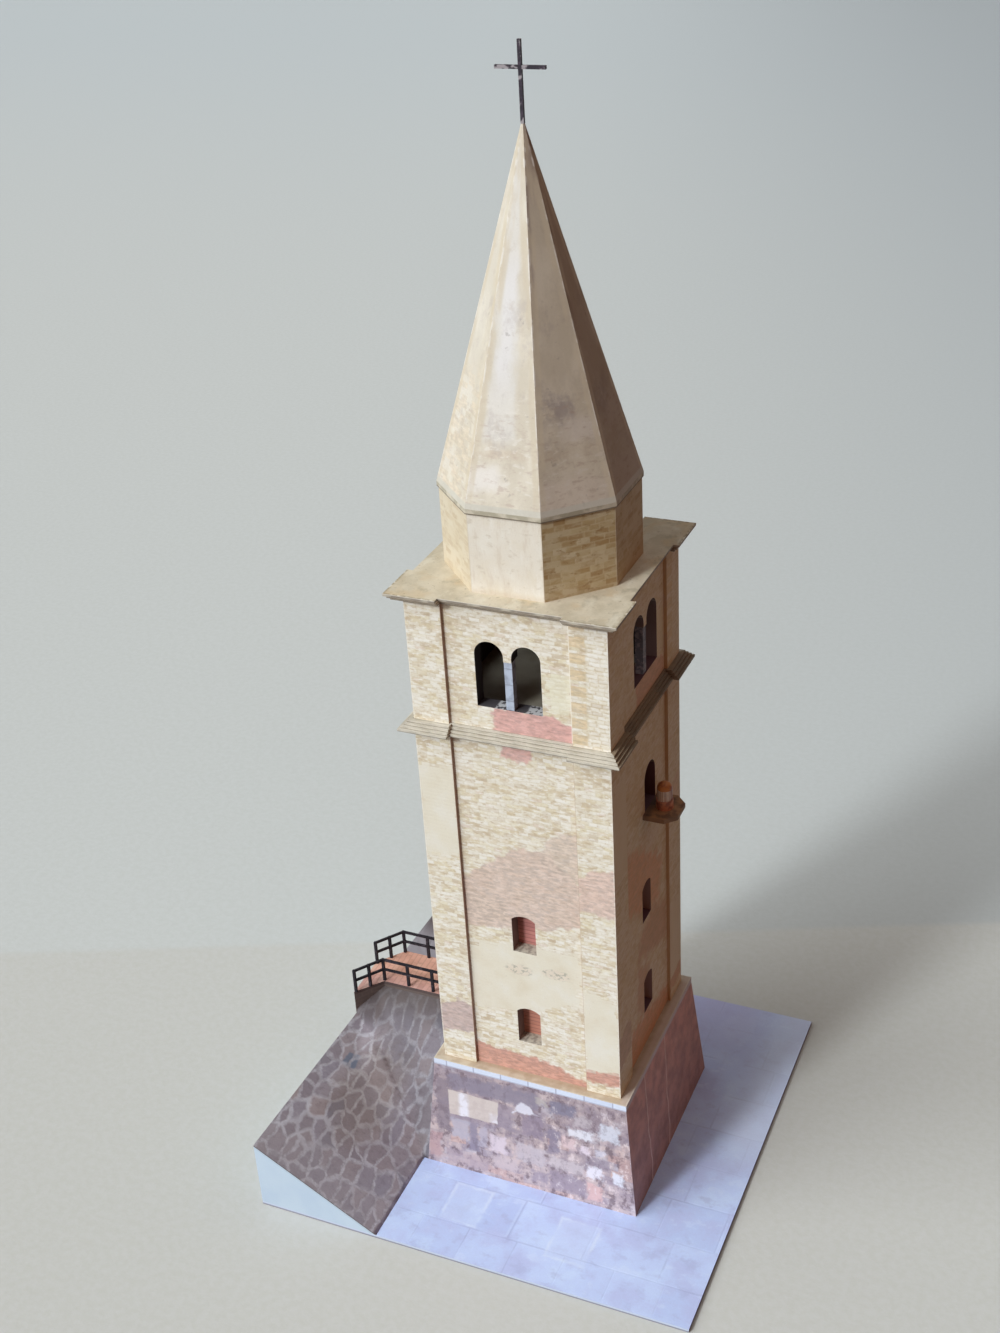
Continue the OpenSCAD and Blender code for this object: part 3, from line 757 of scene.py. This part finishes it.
# ---- lamp and cross

def paint_cross():
    g = Graph("cross_wire")
    worn = g.cloud(1.6)
    ink = g.mix(rgb(34, 26, 40), rgb(78, 64, 78), worn.above(0.48, 0.7) * 0.7)
    glint = g.cloud(0.7, 2).above(0.52, 0.62) * (g.nz - g.ny).above(0.5, 0.9)
    ink.lay(176, 168, 172, glint * 0.8)
    return g.done(ink, 0.35 + worn * 0.3, worn * 0.03, 0.5)


def paint_lamp_shelf():
    g = Graph("lamp_shelf_print")
    cloud = g.cloud(0.5, 4)
    ink = g.mix(rgb(172, 132, 96), rgb(124, 94, 72), cloud.above(0.4, 0.62))
    ink.lay(74, 52, 52, g.x.below(WALL_OUT + 0.6, WALL_OUT + 1.6) * 0.6)
    ink.lay(140, 116, 92, g.nz.abs().below(0.4, 0.6) * 0.6)
    return g.printed(ink, 0.6, grain=0.08)


def paint_lamp(name, base, dark, roughness, glint=None):
    """Painted lamp part; the glint is a pale ribbed streak towards the front."""
    g = Graph(name)
    cloud = g.cloud(0.8)
    ink = g.mix(base, dark, cloud.above(0.44, 0.66))
    if glint:
        rib = (g.along() * 2.2).fract().above(0.35, 0.5)
        ink.over(glint, (-g.ny).above(0.2, 0.6) * (0.4 + rib * 0.6))
    return g.printed(ink, roughness + cloud * 0.12, specular=0.45)


# ---- plinth

def paint_plinth(name, front):
    """Old mixed masonry: dark damp stone above, pink brick below, white efflorescence."""
    g = Graph(name)
    u, z = g.along(), g.z
    b = Bricks(g, 1.9, 4.4, (0, 0.45))
    height = (z - PAVING) / (PLINTH_TOP - PAVING)
    body = g.ramp(b.tone, (
        (0, rgb(178, 164, 174)), (0.35, rgb(194, 176, 178)), (0.65, rgb(206, 186, 184)),
        (1, rgb(172, 160, 172)),
    ))
    mottle = g.wall(1, 1, 0, 0.34, 4, 0.6)
    body.lay(208, 192, 192, mottle.above(0.46, 0.62) * 0.6)
    body.lay(158, 144, 156, mottle.below(0.36, 0.5) * 0.6)
    damp = g.wall(0.2, 0.16, 2, 1, 4, 0.58)
    dark = (damp + height * 0.26).above(0.56, 0.74) * (0.45 if front else 0.7)
    body.lay(122, 110, 126, dark)
    drip = g.wall(0.45, 0.1, 0, 1, 3, 0.5)
    body.lay(132, 118, 130, drip.above(0.52, 0.66) * height.above(0.15, 0.6) * 0.45)
    salt = g.wall(1, 1.1, 6, 0.22, 4, 0.6)
    body.lay(224, 222, 232, salt.above(0.55, 0.67) * (0.3 if front else 0.6))
    red = g.noise(b.u, b.z, g.face() + 4, 0.16, 1)
    body.lay(208, 168, 156, red.above(0.58, 0.64) * height.below(0.45, 0.7) * 0.5)
    body.lay(150, 134, 144, b.joint * mottle.above(0.42, 0.58) * 0.35)
    fine = g.wall(1, 0.75, 9, 0.62, 4, 0.64)
    body.lay(112, 94, 102, fine.above(0.5, 0.66) * 0.65)
    body.lay(222, 200, 194, fine.below(0.34, 0.46) * height.below(0.5, 0.9) * 0.55)
    if front:
        body = plinth_front_marks(g, u, z, body, fine)
    body = plinth_lee(g, u, z, height, body)
    lean = (CAP_HALF - u.abs()) + (1 - height) * 2.5
    body.lay(206, 196, 200, lean.below(0.15, 0.4) * g.nx.abs().above(0.5, 0.8) * 0.4)
    # Inner faces painted near-black: painted shade.
    body.over(INSIDE_SHADE, g.out().below(0, 1))
    body.shade(g.grain(0.06))
    height = g.fibre() - b.joint * 0.015 + mottle * 0.02
    return g.done(body, 0.6 + mottle * 0.2, height)


def plinth_lee(g, u, z, height, body):
    """The shaded right side: smooth brown-mauve stone, partly its own colour and partly painted
    shade, paler above, with two fine pale cracks.
    """
    shaded_side = g.looks_right()
    cloud = g.noise(u * 0.5, z * 0.5, 11, 0.45, 4, 0.6)
    stone = g.mix(rgb(206, 158, 148), rgb(176, 136, 130), cloud.above(0.34, 0.66))
    stone.shade(0.7 + height * 0.64)
    body.over(stone, shaded_side * 0.88)
    sway = (g.noise(0, z, 2, 0.15, 2) - 0.5) * 3
    for start, slant in ((-13, 0.1), (-1.5, 0.16)):
        crack = (u - sway - z * slant - start).abs().below(0.1, 0.28)
        body.lay(236, 214, 206, crack * shaded_side * 0.75)
    return body


# stones and stains of the plinth's front: left, foot, right, top in millimetres, colour, strength
PLINTH_MARKS = (
    (-19, 21.8, 2.1, 25.9, 142, 134, 150, 0.85), (4.9, 22.2, 10.4, 25.4, 132, 128, 148, 0.85),
    (-21.6, 10, -18.5, 24, 142, 130, 140, 0.8), (-7.4, 14.6, -3.6, 21.2, 158, 146, 160, 0.75),
    (-1.5, 14.4, 3.2, 19.8, 150, 136, 152, 0.8), (4.3, 11.6, 7, 18, 144, 134, 152, 0.85),
    (-14, 6.6, -11.8, 14.4, 146, 138, 157, 0.85), (-18.4, 13.6, -8, 15.3, 160, 148, 162, 0.7),
    (4.7, 2.2, 13.2, 6.8, 160, 147, 161, 0.85), (0.6, 3, 4.2, 5.8, 162, 150, 165, 0.8),
    (14.5, 10.4, 18.4, 13.4, 156, 144, 158, 0.75), (-18.2, 8.8, -14, 14, 186, 181, 195, 0.8),
    (-11.9, 8.4, -9.7, 13.5, 186, 179, 194, 0.8), (-9.1, 7.8, -5.3, 12.4, 222, 208, 218, 0.85),
    (-2.8, 7.3, 3.7, 12, 202, 192, 199, 0.8), (-8.7, 3.6, -2.8, 7.2, 206, 190, 194, 0.8),
    (4.8, 7.7, 12.8, 10.8, 207, 196, 201, 0.8), (-19.5, 1.8, -9.3, 5.5, 180, 162, 170, 0.6),
    (1.8, 23.6, 4.4, 25.2, 186, 178, 174, 0.75), (9, 17.4, 14.4, 19.6, 228, 228, 238, 0.85),
    (10.3, 20.2, 14.2, 23.4, 194, 184, 191, 0.75), (16.1, 18.5, 20.4, 22.7, 212, 215, 228, 0.85),
    (13.2, 7.9, 16.6, 11, 236, 233, 244, 0.9), (19.1, 7.7, 21.5, 10.9, 230, 232, 243, 0.9),
    (11.8, 13.4, 13.9, 15.8, 234, 220, 230, 0.85), (15.1, 13.8, 17.2, 15.8, 210, 207, 221, 0.8),
    (13.4, 2, 16.8, 6.4, 222, 186, 184, 0.85), (7.8, 14.2, 10.7, 17, 226, 202, 204, 0.8),
    (-23.9, 2.2, -20.7, 8.8, 190, 158, 160, 0.8),
)


def plinth_front_marks(g, u, z, body, fine):
    """Pale inserted block, worn stones, dark stains and white scars of the front."""
    sway = (g.noise(u, z, 2, 0.55, 5, 0.7) - 0.5) * 3.6
    for left, foot, right, top, *tint, strength in PLINTH_MARKS:
        inside = (u - left).min(right - u).min(z - foot).min(top - z)
        body.lay(*tint, (inside + sway).above(-0.4, 0.5) * strength)
    body.lay(122, 106, 116, fine.above(0.52, 0.64) * 0.3)
    body.over((0.95, 0.95, 0.96), z.below(14, 19), "MULTIPLY")
    body.lay(232, 222, 228, fine.below(0.33, 0.43) * u.above(-2, 8) * 0.45)
    scar = region(g, u, z, ((-3.6, 19.8), (2.2, 20.5), (-1.7, 23.2)), 0.9, 0.3, 0.8)
    body.lay(222, 220, 232, scar * 0.9)
    block = region(g, u, z, ((-18.6, 15), (-7.3, 15.5), (-7.1, 21.2), (-18.9, 21.4)), 0.3, 0.15)
    stone = g.mix(rgb(209, 197, 192), rgb(230, 227, 236), u.between(-16.3, -14.1, 0.5))
    stone.lay(224, 219, 226, u.above(-9.6, -8.6) * z.below(17, 18.4))
    stone.lay(196, 182, 178, g.noise(u, z, 1, 0.5).above(0.48, 0.62) * 0.5)
    return g.mix(body, stone, block)


def paint_plinth_cap():
    g = Graph("plinth_cap_print")
    block = (g.along() / CAP_BLOCK).fract()
    joint = block.min(1 - block).below(0.01, 0.035)
    tone = g.white((g.along() / CAP_BLOCK).floor(), g.face())
    cloud = g.cloud(0.35)
    side = g.mix(rgb(230, 238, 252), rgb(212, 221, 241), tone * 0.6 + cloud * 0.4)
    side.lay(172, 174, 194, joint * 0.8)
    under = (PLINTH_TOP - g.z).above(1.1, 1.3)
    side.lay(168, 168, 186, under * 0.6)
    # Right side painted warmer pink-brown: painted shade.
    side.lay(208, 190, 184, g.looks_right() * 0.85)
    reach = g.x.abs().max(g.y.abs())
    top = g.mix(rgb(206, 191, 171), rgb(190, 171, 149), cloud.above(0.42, 0.62))
    # The top's right part painted browner: painted shadow of the tower.
    top.lay(206, 186, 176, g.x.above(WALL_OUT + 0.5, WALL_OUT + 1.5) * 0.6)
    top.lay(168, 141, 112, reach.below(WALL_OUT + 0.4, WALL_OUT + 1.6) * 0.5)
    top.lay(222, 214, 198, (CAP_HALF - reach).below(0.1, 0.4) * 0.6)
    ink = g.mix(side, top, g.looks_up())
    return g.printed(ink, 0.6, joint * 0.02)


# ---- ground

BRIGHT_FLAGS = ((-15.2, -6.4, -39, -28.4), (9.6, 18.9, -41, -29.7))


def paint_paving():
    """Large pale-blue flags in courses, clouded, two of them brighter, with painted shadow and
    light to the right of the tower.
    """
    g = Graph("paving_print")
    course, length = 11.2, 9.4
    rows = (g.y + 39.2) / course
    row = rows.floor()
    shift = g.white(row, 3) * 2
    columns = (g.x + 15.4) / length * (0.55 + g.white(row, 8) * 0.35) + shift * row.abs().min(1)
    column = columns.floor()
    across, up = columns - column, rows - row
    gap = (across.min(1 - across) * 14).min(up.min(1 - up) * course)
    tone = g.white(column, row, 5)
    cloud = g.ground(0, 0.085, 5, 0.6)
    ink = g.mix(rgb(202, 216, 253), rgb(188, 202, 243), tone)
    ink.lay(190, 196, 236, cloud.above(0.46, 0.64) * 0.75)
    ink.lay(208, 224, 255, cloud.below(0.34, 0.48) * 0.65)
    smear = g.noise(g.x * 0.8, g.y, 4, 0.3, 5, 0.62)
    ink.lay(176, 182, 220, smear.above(0.52, 0.7) * 0.5)
    ink.lay(212, 224, 254, smear.below(0.3, 0.44) * 0.5)
    drawn = g.ground(9, 0.1).above(0.44, 0.6)
    ink.lay(168, 176, 214, gap.below(0.08, 0.34) * drawn * 0.38)
    bright = gap.between(0.3, 0.7, 0.16) * tone.above(0.6, 0.7)
    ink.lay(214, 226, 255, bright * drawn * 0.35)
    sway = (g.ground(17, 0.8) - 0.5) * 0.8
    chalk = g.ground(27, 0.22).above(0.36, 0.6)
    for low_x, high_x, low_y, high_y in BRIGHT_FLAGS:
        inside = (g.x - low_x).min(high_x - g.x).min(g.y - low_y).min(high_y - g.y) + sway
        ink.lay(208, 221, 252, inside.above(-0.2, 0.5) * 0.45)
        ink.lay(224, 234, 255, inside.between(0, 0.55, 0.4) * chalk * 0.6)
    # Painted shadow: mauve-grey on the paving behind the tower, to the right.
    shade_mauve = g.y.above(16, 44) * g.x.between(8, 33, 6)
    ink.lay(186, 180, 216, shade_mauve * 0.6)
    # Painted light: paler paving near the right edge, inside the tower's shadow.
    ink.lay(222, 232, 255, g.x.above(30, 40) * g.y.above(-12, 8) * 0.6)
    side = g.mix(rgb(206, 218, 238), rgb(150, 150, 166), (PAVING - g.z).above(0.35, 0.6))
    # The card's right edge painted dark purple-grey: painted shade.
    side.lay(130, 122, 158, g.looks_right() * 0.9)
    ink.over(side, g.nz.below(0.4, 0.6))
    return g.printed(ink, 0.55 + cloud * 0.15, gap.below(0.05, 0.3) * 0.02)


STONE_SCALE = 0.27


def slope_cells(g, place, feature):
    return g.node(
        "ShaderNodeTexVoronoi", {"Vector": place, "Scale": STONE_SCALE, "Randomness": 1},
        feature=feature, voronoi_dimensions="2D",
    )


def paint_slope():
    """Crazy paving: long purple-brown stones in pale grey mortar, darker towards the deck, with
    painted shade on the front-facing ramp and painted light on the toe.
    """
    g = Graph("slope_print")
    warp = g.ground(0, 0.2, 2) - 0.5
    warp2 = g.ground(30, 0.2, 2) - 0.5
    fine = g.ground(60, 1, 2) - 0.5
    place = g.vec(
        g.x * 1.42 + warp * 3 + fine * 0.8,
        g.y * 0.74 + g.x * 0.14 + warp2 * 3 + fine * 0.8,
    )
    edge = Val(g, slope_cells(g, place, "DISTANCE_TO_EDGE").outputs["Distance"]) * (1 / STONE_SCALE)
    cell = slope_cells(g, place, "F1")
    tone, tint, _ = g.parts(cell.outputs["Color"])
    stone = g.ramp(tone, (
        (0, rgb(148, 138, 148)), (0.35, rgb(166, 153, 158)), (0.6, rgb(156, 149, 162)),
        (0.8, rgb(172, 158, 162)), (1, rgb(140, 136, 150)),
    ))
    mottle = g.ground(5, 0.9, 4, 0.65)
    stone.lay(132, 120, 128, mottle.above(0.5, 0.7) * 0.5)
    stone.lay(184, 174, 182, mottle.below(0.3, 0.44) * 0.4)
    brown = g.ground(15, 0.045, 2)
    cool = (g.y * 0.014 + brown).above(0.35, 0.85)
    stone.lay(146, 144, 160, cool * 0.4)
    earthy = spot(g, g.x, g.y, (-41, -19), 6.5, 15, 0.8)
    stone.lay(134, 117, 106, earthy * 0.38)
    block = region(g, g.x, g.y, ((-49.2, -16.2), (-46.2, -15.6), (-46.6, -11.4), (-49, -12)), 0.4)
    stone.lay(112, 122, 142, block * 0.85)
    limy = spot(g, g.x, g.y, (-47.5, -35), 5, 7, 0.8)
    width = 0.16 + g.ground(21, 0.35) * 0.5 + limy * 0.12
    mortar = (edge / width).below(0.3, 1.7)
    grout = g.mix(rgb(203, 200, 210), rgb(178, 173, 182), mottle.above(0.42, 0.6))
    grout.lay(164, 150, 142, earthy * 0.5)
    grout.lay(214, 213, 224, limy * 0.7)
    worn = g.ground(41, 0.12).above(0.34, 0.62)
    stone.lay(176, 172, 184, g.y.below(-44, -32) * 0.35)
    ink = g.mix(stone, grout, mortar * (0.42 + tint * 0.22 + worn * 0.3))
    # The sheet darker towards the deck.
    darker_near_deck = (g.y + (brown - 0.5) * 8).above(-3, DECK_FRONT)
    ink.lay(104, 90, 84, darker_near_deck * 0.75)
    shadow = (g.y + (brown - 0.5) * 6).above(-3.5, 0.5) * (g.x + g.y * 0.8).below(-47.5, -44.5)
    ink.lay(78, 58, 54, shadow * 0.45)
    ink.lay(214, 210, 222, g.y.between(18, 36, 5) * 0.6)
    # Painted shade: the sheet darkened where it faces the front.
    smooth = g.parts(g.node("ShaderNodeNewGeometry").outputs["Normal"])
    ink.shade(1 - (-smooth[1]).above(0.1, 0.5) * 0.42)
    rim = slope_top(g) - g.z
    edge_card = g.mix(rgb(92, 80, 80), rgb(192, 208, 222), rim.above(0.18, 0.34))
    # The toe's right-facing edge painted pale: painted light against its shade.
    edge_card.lay(226, 212, 216, g.looks_right())
    ink.over(edge_card, g.nz.abs().below(0.3, 0.5))
    ink.lay(200, 206, 214, g.nz.below(-0.5, -0.3))
    ink.shade(g.grain(0.08))
    height = g.fibre() + mottle * 0.02 - mortar * 0.03
    return g.done(ink, 0.62 + mottle * 0.15, height)


def slope_top(g):
    """Height of the slope's sheet at its front end."""
    rise = EDGE_FRONT / (SLOPE_TOE - SLOPE_LEFT)
    return (SLOPE_TOE - g.x) * rise + PAVING


def paint_plain_card():
    g = Graph("plain_card")
    cloud = g.cloud(0.1, 4)
    ink = g.mix(rgb(202, 219, 235), rgb(195, 213, 232), cloud.above(0.4, 0.64))
    return g.printed(ink, 0.6, grain=0.03)


def paint_terrace_wall():
    g = Graph("terrace_wall_print")
    b = Bricks(g, 1.1, 2.6)
    # Dark brown brick: partly its own colour, partly painted shade.
    ink = g.ramp(b.tone, ((0, rgb(98, 76, 70)), (0.5, rgb(116, 92, 84)), (1, rgb(86, 70, 69))))
    cloud = g.wall(1, 1, 0, 0.4, 4)
    ink.lay(68, 56, 56, cloud.above(0.48, 0.66) * 0.6)
    ink.lay(156, 130, 116, b.joint * 0.5)
    ink.lay(100, 90, 86, (-g.ny).above(0.2, 0.4) * g.z.above(15, 17) * 0.8)
    return g.printed(ink, 0.65, b.joint * 0.02, grain=0.07)


def paint_deck():
    """Rows of orange-pink paving brick across the deck."""
    g = Graph("deck_print")
    b = Bricks(g, 1.25, 3.4, (0.05, 0.22), (g.y, g.x))
    ink = g.ramp(b.tone, (
        (0, rgb(222, 168, 156)), (0.5, rgb(232, 182, 168)), (0.8, rgb(204, 150, 136)),
        (1, rgb(236, 198, 182)),
    ))
    cloud = g.ground(0, 0.35, 4)
    ink.lay(182, 136, 122, cloud.above(0.5, 0.7) * 0.5)
    ink.lay(228, 170, 140, g.y.above(6, 12) * 0.5)
    ink.lay(176, 134, 130, g.y.below(5, 9) * 0.45)
    ink.lay(158, 116, 104, b.joint * 0.28)
    ink.lay(88, 74, 72, g.nz.below(0.4, 0.6))
    return g.printed(ink, 0.62, b.joint * 0.02)


def paint_railing():
    g = Graph("railing_print")
    worn = g.cloud(1.1)
    ink = g.mix(rgb(30, 27, 34), rgb(78, 70, 78), worn.above(0.5, 0.72) * 0.7)
    return g.done(ink, 0.5 + worn * 0.2, g.fibre(), 0.3)


# ---- materials on the CAD nodes

def cover(material, *nodes):
    for name in nodes:
        data = NODES[name].data
        if not data.materials:
            data.materials.append(material)
        for i in range(len(data.materials)):
            data.materials[i] = material


SIDES = ("front", "right", "back", "left")
CORNERS = ("fl", "fr", "br", "bl")


def dress_nodes():
    cover(paint_paving(), "base_card")
    cover(paint_plain_card(), "slope_front_end", "slope_rear_end", "slope_left_wall")
    cover(paint_terrace_wall(), "terrace_walls")
    cover(paint_deck(), "terrace_deck")
    cover(paint_railing(), "front_railing", "rear_railing")
    cover(paint_plinth("plinth_front_print", True), "plinth_front")
    cover(paint_plinth("plinth_side_print", False), "plinth_right", "plinth_back", "plinth_left")
    cover(paint_plinth_cap(), "plinth_cap")
    cover(paint_shaft_front(), "shaft_front", "shaft_back", "shaft_left")
    cover(paint_shaft_right(), "shaft_right")
    cover(paint_shaft_pilaster(), *["shaft_pilaster_" + c for c in CORNERS])
    cover(paint_shutter(), *[s + "_shutters" for s in SIDES])
    cover(paint_cornice("mid_cornice_print", MID_Z, rgb(212, 205, 190), 0.75),
          "mid_cornice_lower", "mid_cornice_upper")
    cover(paint_cornice("top_cornice_print", TOP_Z, rgb(228, 215, 194), 0.9), "top_cornice")
    cover(paint_belfry_wall(), *["belfry_" + s for s in SIDES])
    cover(paint_belfry_pilaster(), *["belfry_pilaster_" + c for c in CORNERS])
    cover(paint_column(), "belfry_columns")
    cover(paint_eave(), "eave_plate")
    cover(paint_drum(), "drum")
    cover(paint_spire_band(), "spire_band")
    cover(paint_spire(), "spire")
    cover(paint_cross(), "cross")
    cover(paint_lamp_shelf(), "lamp_shelf")
    cover(paint_lamp("lamp_base_print", rgb(214, 150, 120), rgb(160, 106, 92), 0.45), "lamp_base")
    cover(paint_lamp("lamp_dome_print", rgb(206, 138, 80), rgb(160, 92, 64), 0.35), "lamp_dome")
    lens = paint_lamp(
        "lamp_lens_print", rgb(168, 116, 96), rgb(124, 78, 66), 0.3, rgb(232, 220, 208))
    cover(lens, "lamp_lens")


# ---- pieces that stand for CAD nodes

def add_object(name, data):
    made = bpy.data.objects.new(name, data)
    bpy.context.scene.collection.objects.link(made)
    return made


def add_mesh(name, mesh, material):
    """Turn a bmesh in metres into an object of one material."""
    data = bpy.data.meshes.new(name)
    mesh.to_mesh(data)
    mesh.free()
    data.materials.append(material)
    return add_object(name, data)


def main_slope_z(x, y):
    """Height of the main slope's top face: it runs from the toe up to the left edge."""
    run = SLOPE_TOE - SLOPE_LEFT
    share = y / (BASE_HIGH.y - BASE_LOW.y) + 0.5
    edge = EDGE_FRONT + (EDGE_REAR - EDGE_FRONT) * share
    return PAVING + edge * (SLOPE_TOE - x) / run


def ramp_z(y):
    """Height of the ramp that climbs to the terrace."""
    return PAVING + RAMP_H * (y + RAMP_FOOT) / (RAMP_FOOT + DECK_FRONT)


def bend_radius(x):
    """Softest in the middle of the slope, tight at its left edge and its toe."""
    middle = min(x - SLOPE_LEFT, SLOPE_TOE - x) / BEND_REACH
    middle = min(max(middle, 0), 1)
    return BEND_TIGHT + (BEND_SOFT - BEND_TIGHT) * middle * middle * (3 - 2 * middle)


def build_slope_sheet():
    """The slope's sheet bent in one soft sweep where the ramp leaves the main slope."""
    mesh = bmesh.new()
    mesh.from_mesh(NODES["slope_stones"].data)
    bmesh.ops.scale(mesh, vec=(1 / MM,) * 3, verts=mesh.verts)
    bmesh.ops.remove_doubles(mesh, verts=mesh.verts, dist=0.001)
    for _ in range(SPLIT_ROUNDS):
        long = [e for e in mesh.edges if e.calc_length() > LONGEST_EDGE]
        if not long:
            break
        bmesh.ops.subdivide_edges(mesh, edges=long, cuts=1, use_grid_fill=False)
        bmesh.ops.triangulate(mesh, faces=[f for f in mesh.faces if len(f.verts) > 3])
    for vertex in mesh.verts:
        x, y = vertex.co.x, vertex.co.y
        if y > DECK_FRONT + 0.01:
            continue
        soft = bend_radius(x)
        gap = abs(main_slope_z(x, y) - ramp_z(y))
        if gap < soft:
            vertex.co.z += (soft - gap) ** 2 / (4 * soft)
    bmesh.ops.scale(mesh, vec=(MM,) * 3, verts=mesh.verts)
    piece = add_mesh("slope_sheet", mesh, paint_slope())
    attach(piece, "root")
    for face in piece.data.polygons:
        face.use_smooth = abs(face.normal.z) > 0.3
    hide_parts("slope_stones")


# ---- stage, light, camera

FLOOR_HALF, FLOOR_CELLS, FLOOR_Z = 4, 40, -0.00005
# name, degrees to the right of the front, degrees up, strength, spread in degrees, colour
SUNS = (
    ("window", -25, 32, 1.45, 9, (0.9, 0.97, 1)),
    ("sky", -46, 32, 2.5, 55, (0.9, 0.97, 1)),
    ("fill", -140, 70, 0.72, 110, (0.45, 0.9, 1)),
)
ROOM_GLOW, ROOM_STRENGTH = (1, 0.35, 0.15, 1), 0.19
ROOM_SEEN = (0.56, 0.58, 0.57, 1)
CAMERA_ANGLES, CAMERA_ROLL = (25.027, 29.201), -3.652
CAMERA_PLACE = (0.115516, -0.269928, 0.281893)
CAMERA_LENS = 46.63


def paint_floor():
    """Beige board in front, grey paper further back, with a soft line between them, and painted
    shade darkening the paper towards the right.
    """
    g = Graph("floor_paper")
    mottle = g.ground(0, 0.6, 3, 0.6)
    board = g.mix(rgb(207, 206, 202), rgb(203, 202, 196), mottle.above(0.3, 0.7))
    paper = g.mix(rgb(209, 211, 209), rgb(205, 207, 204), mottle.above(0.3, 0.7))
    paper.lay(200, 206, 208, g.y.above(300, 1400))
    # Painted shade: the paper darker towards the right.
    paper.lay(170, 175, 178, (g.x + g.y * 0.35).above(-150, 480))
    behind = (g.y * 0.927 - g.x * 0.375 - 65).above(-1.6, 1.6)
    seen = g.mix(board, paper, behind)
    camera = g.node("ShaderNodeLightPath")
    direct = Val(g, camera.outputs["Is Camera Ray"]).max(Val(g, camera.outputs["Is Glossy Ray"]))
    colour = g.mix(g.shade(seen, 0.2), seen, direct)
    return g.done(colour, 0.8, g.ground(0, 0.9, 4) * 0.04, 0.2)


def build_floor():
    """Large flat board just under the base card."""
    mesh = bmesh.new()
    bmesh.ops.create_grid(mesh, x_segments=FLOOR_CELLS, y_segments=FLOOR_CELLS, size=FLOOR_HALF)
    for vertex in mesh.verts:
        vertex.co.z = FLOOR_Z
    add_mesh("floor", mesh, paint_floor())


def towards(azimuth, height):
    """Direction away from the model: degrees to the right of the front, degrees up."""
    a, e = math.radians(azimuth), math.radians(height)
    return Vector((math.sin(a) * math.cos(e), -math.cos(a) * math.cos(e), math.sin(e)))


def light_scene():
    """Distant lamps and a room that glows faintly."""
    for name, azimuth, height, strength, spread, colour in SUNS:
        data = bpy.data.lights.new(name, "SUN")
        data.energy, data.angle, data.color = strength, math.radians(spread), colour
        lamp = add_object(name, data)
        lamp.rotation_mode = "QUATERNION"
        lamp.rotation_quaternion = towards(azimuth, height).to_track_quat("Z", "Y")
    world = bpy.data.worlds.new("room")
    world.use_nodes = True
    room = world.node_tree.nodes["Background"]
    room.inputs["Color"].default_value = ROOM_GLOW
    room.inputs["Strength"].default_value = ROOM_STRENGTH
    show_pale_room(world.node_tree, room)
    bpy.context.scene.world = world


def show_pale_room(tree, room):
    """Past the floor's edge the camera sees pale grey, which lights nothing."""
    pale = tree.nodes.new("ShaderNodeBackground")
    pale.inputs["Color"].default_value = ROOM_SEEN
    path = tree.nodes.new("ShaderNodeLightPath")
    pick = tree.nodes.new("ShaderNodeMixShader")
    tree.links.new(path.outputs["Is Camera Ray"], pick.inputs[0])
    tree.links.new(room.outputs[0], pick.inputs[1])
    tree.links.new(pale.outputs[0], pick.inputs[2])
    tree.links.new(pick.outputs[0], tree.nodes["World Output"].inputs["Surface"])


def place_camera():
    """Camera at the photograph's viewing angle."""
    back = towards(*CAMERA_ANGLES)
    roll = math.radians(CAMERA_ROLL)
    right = (-back).cross(Vector((0, 0, 1))).normalized()
    up = right.cross(-back)
    x_axis = right * math.cos(roll) + up * math.sin(roll)
    y_axis = -right * math.sin(roll) + up * math.cos(roll)
    data = bpy.data.cameras.new("camera")
    data.lens = CAMERA_LENS
    data.sensor_width = 36
    data.clip_start = 0.01
    camera = add_object("camera", data)
    turn = Matrix((x_axis, y_axis, back)).transposed().to_4x4()
    camera.matrix_world = Matrix.Translation(CAMERA_PLACE) @ turn
    bpy.context.scene.camera = camera


place_camera()
dress_nodes()
build_slope_sheet()
build_floor()
light_scene()
bpy.context.scene.view_settings.view_transform = "Standard"
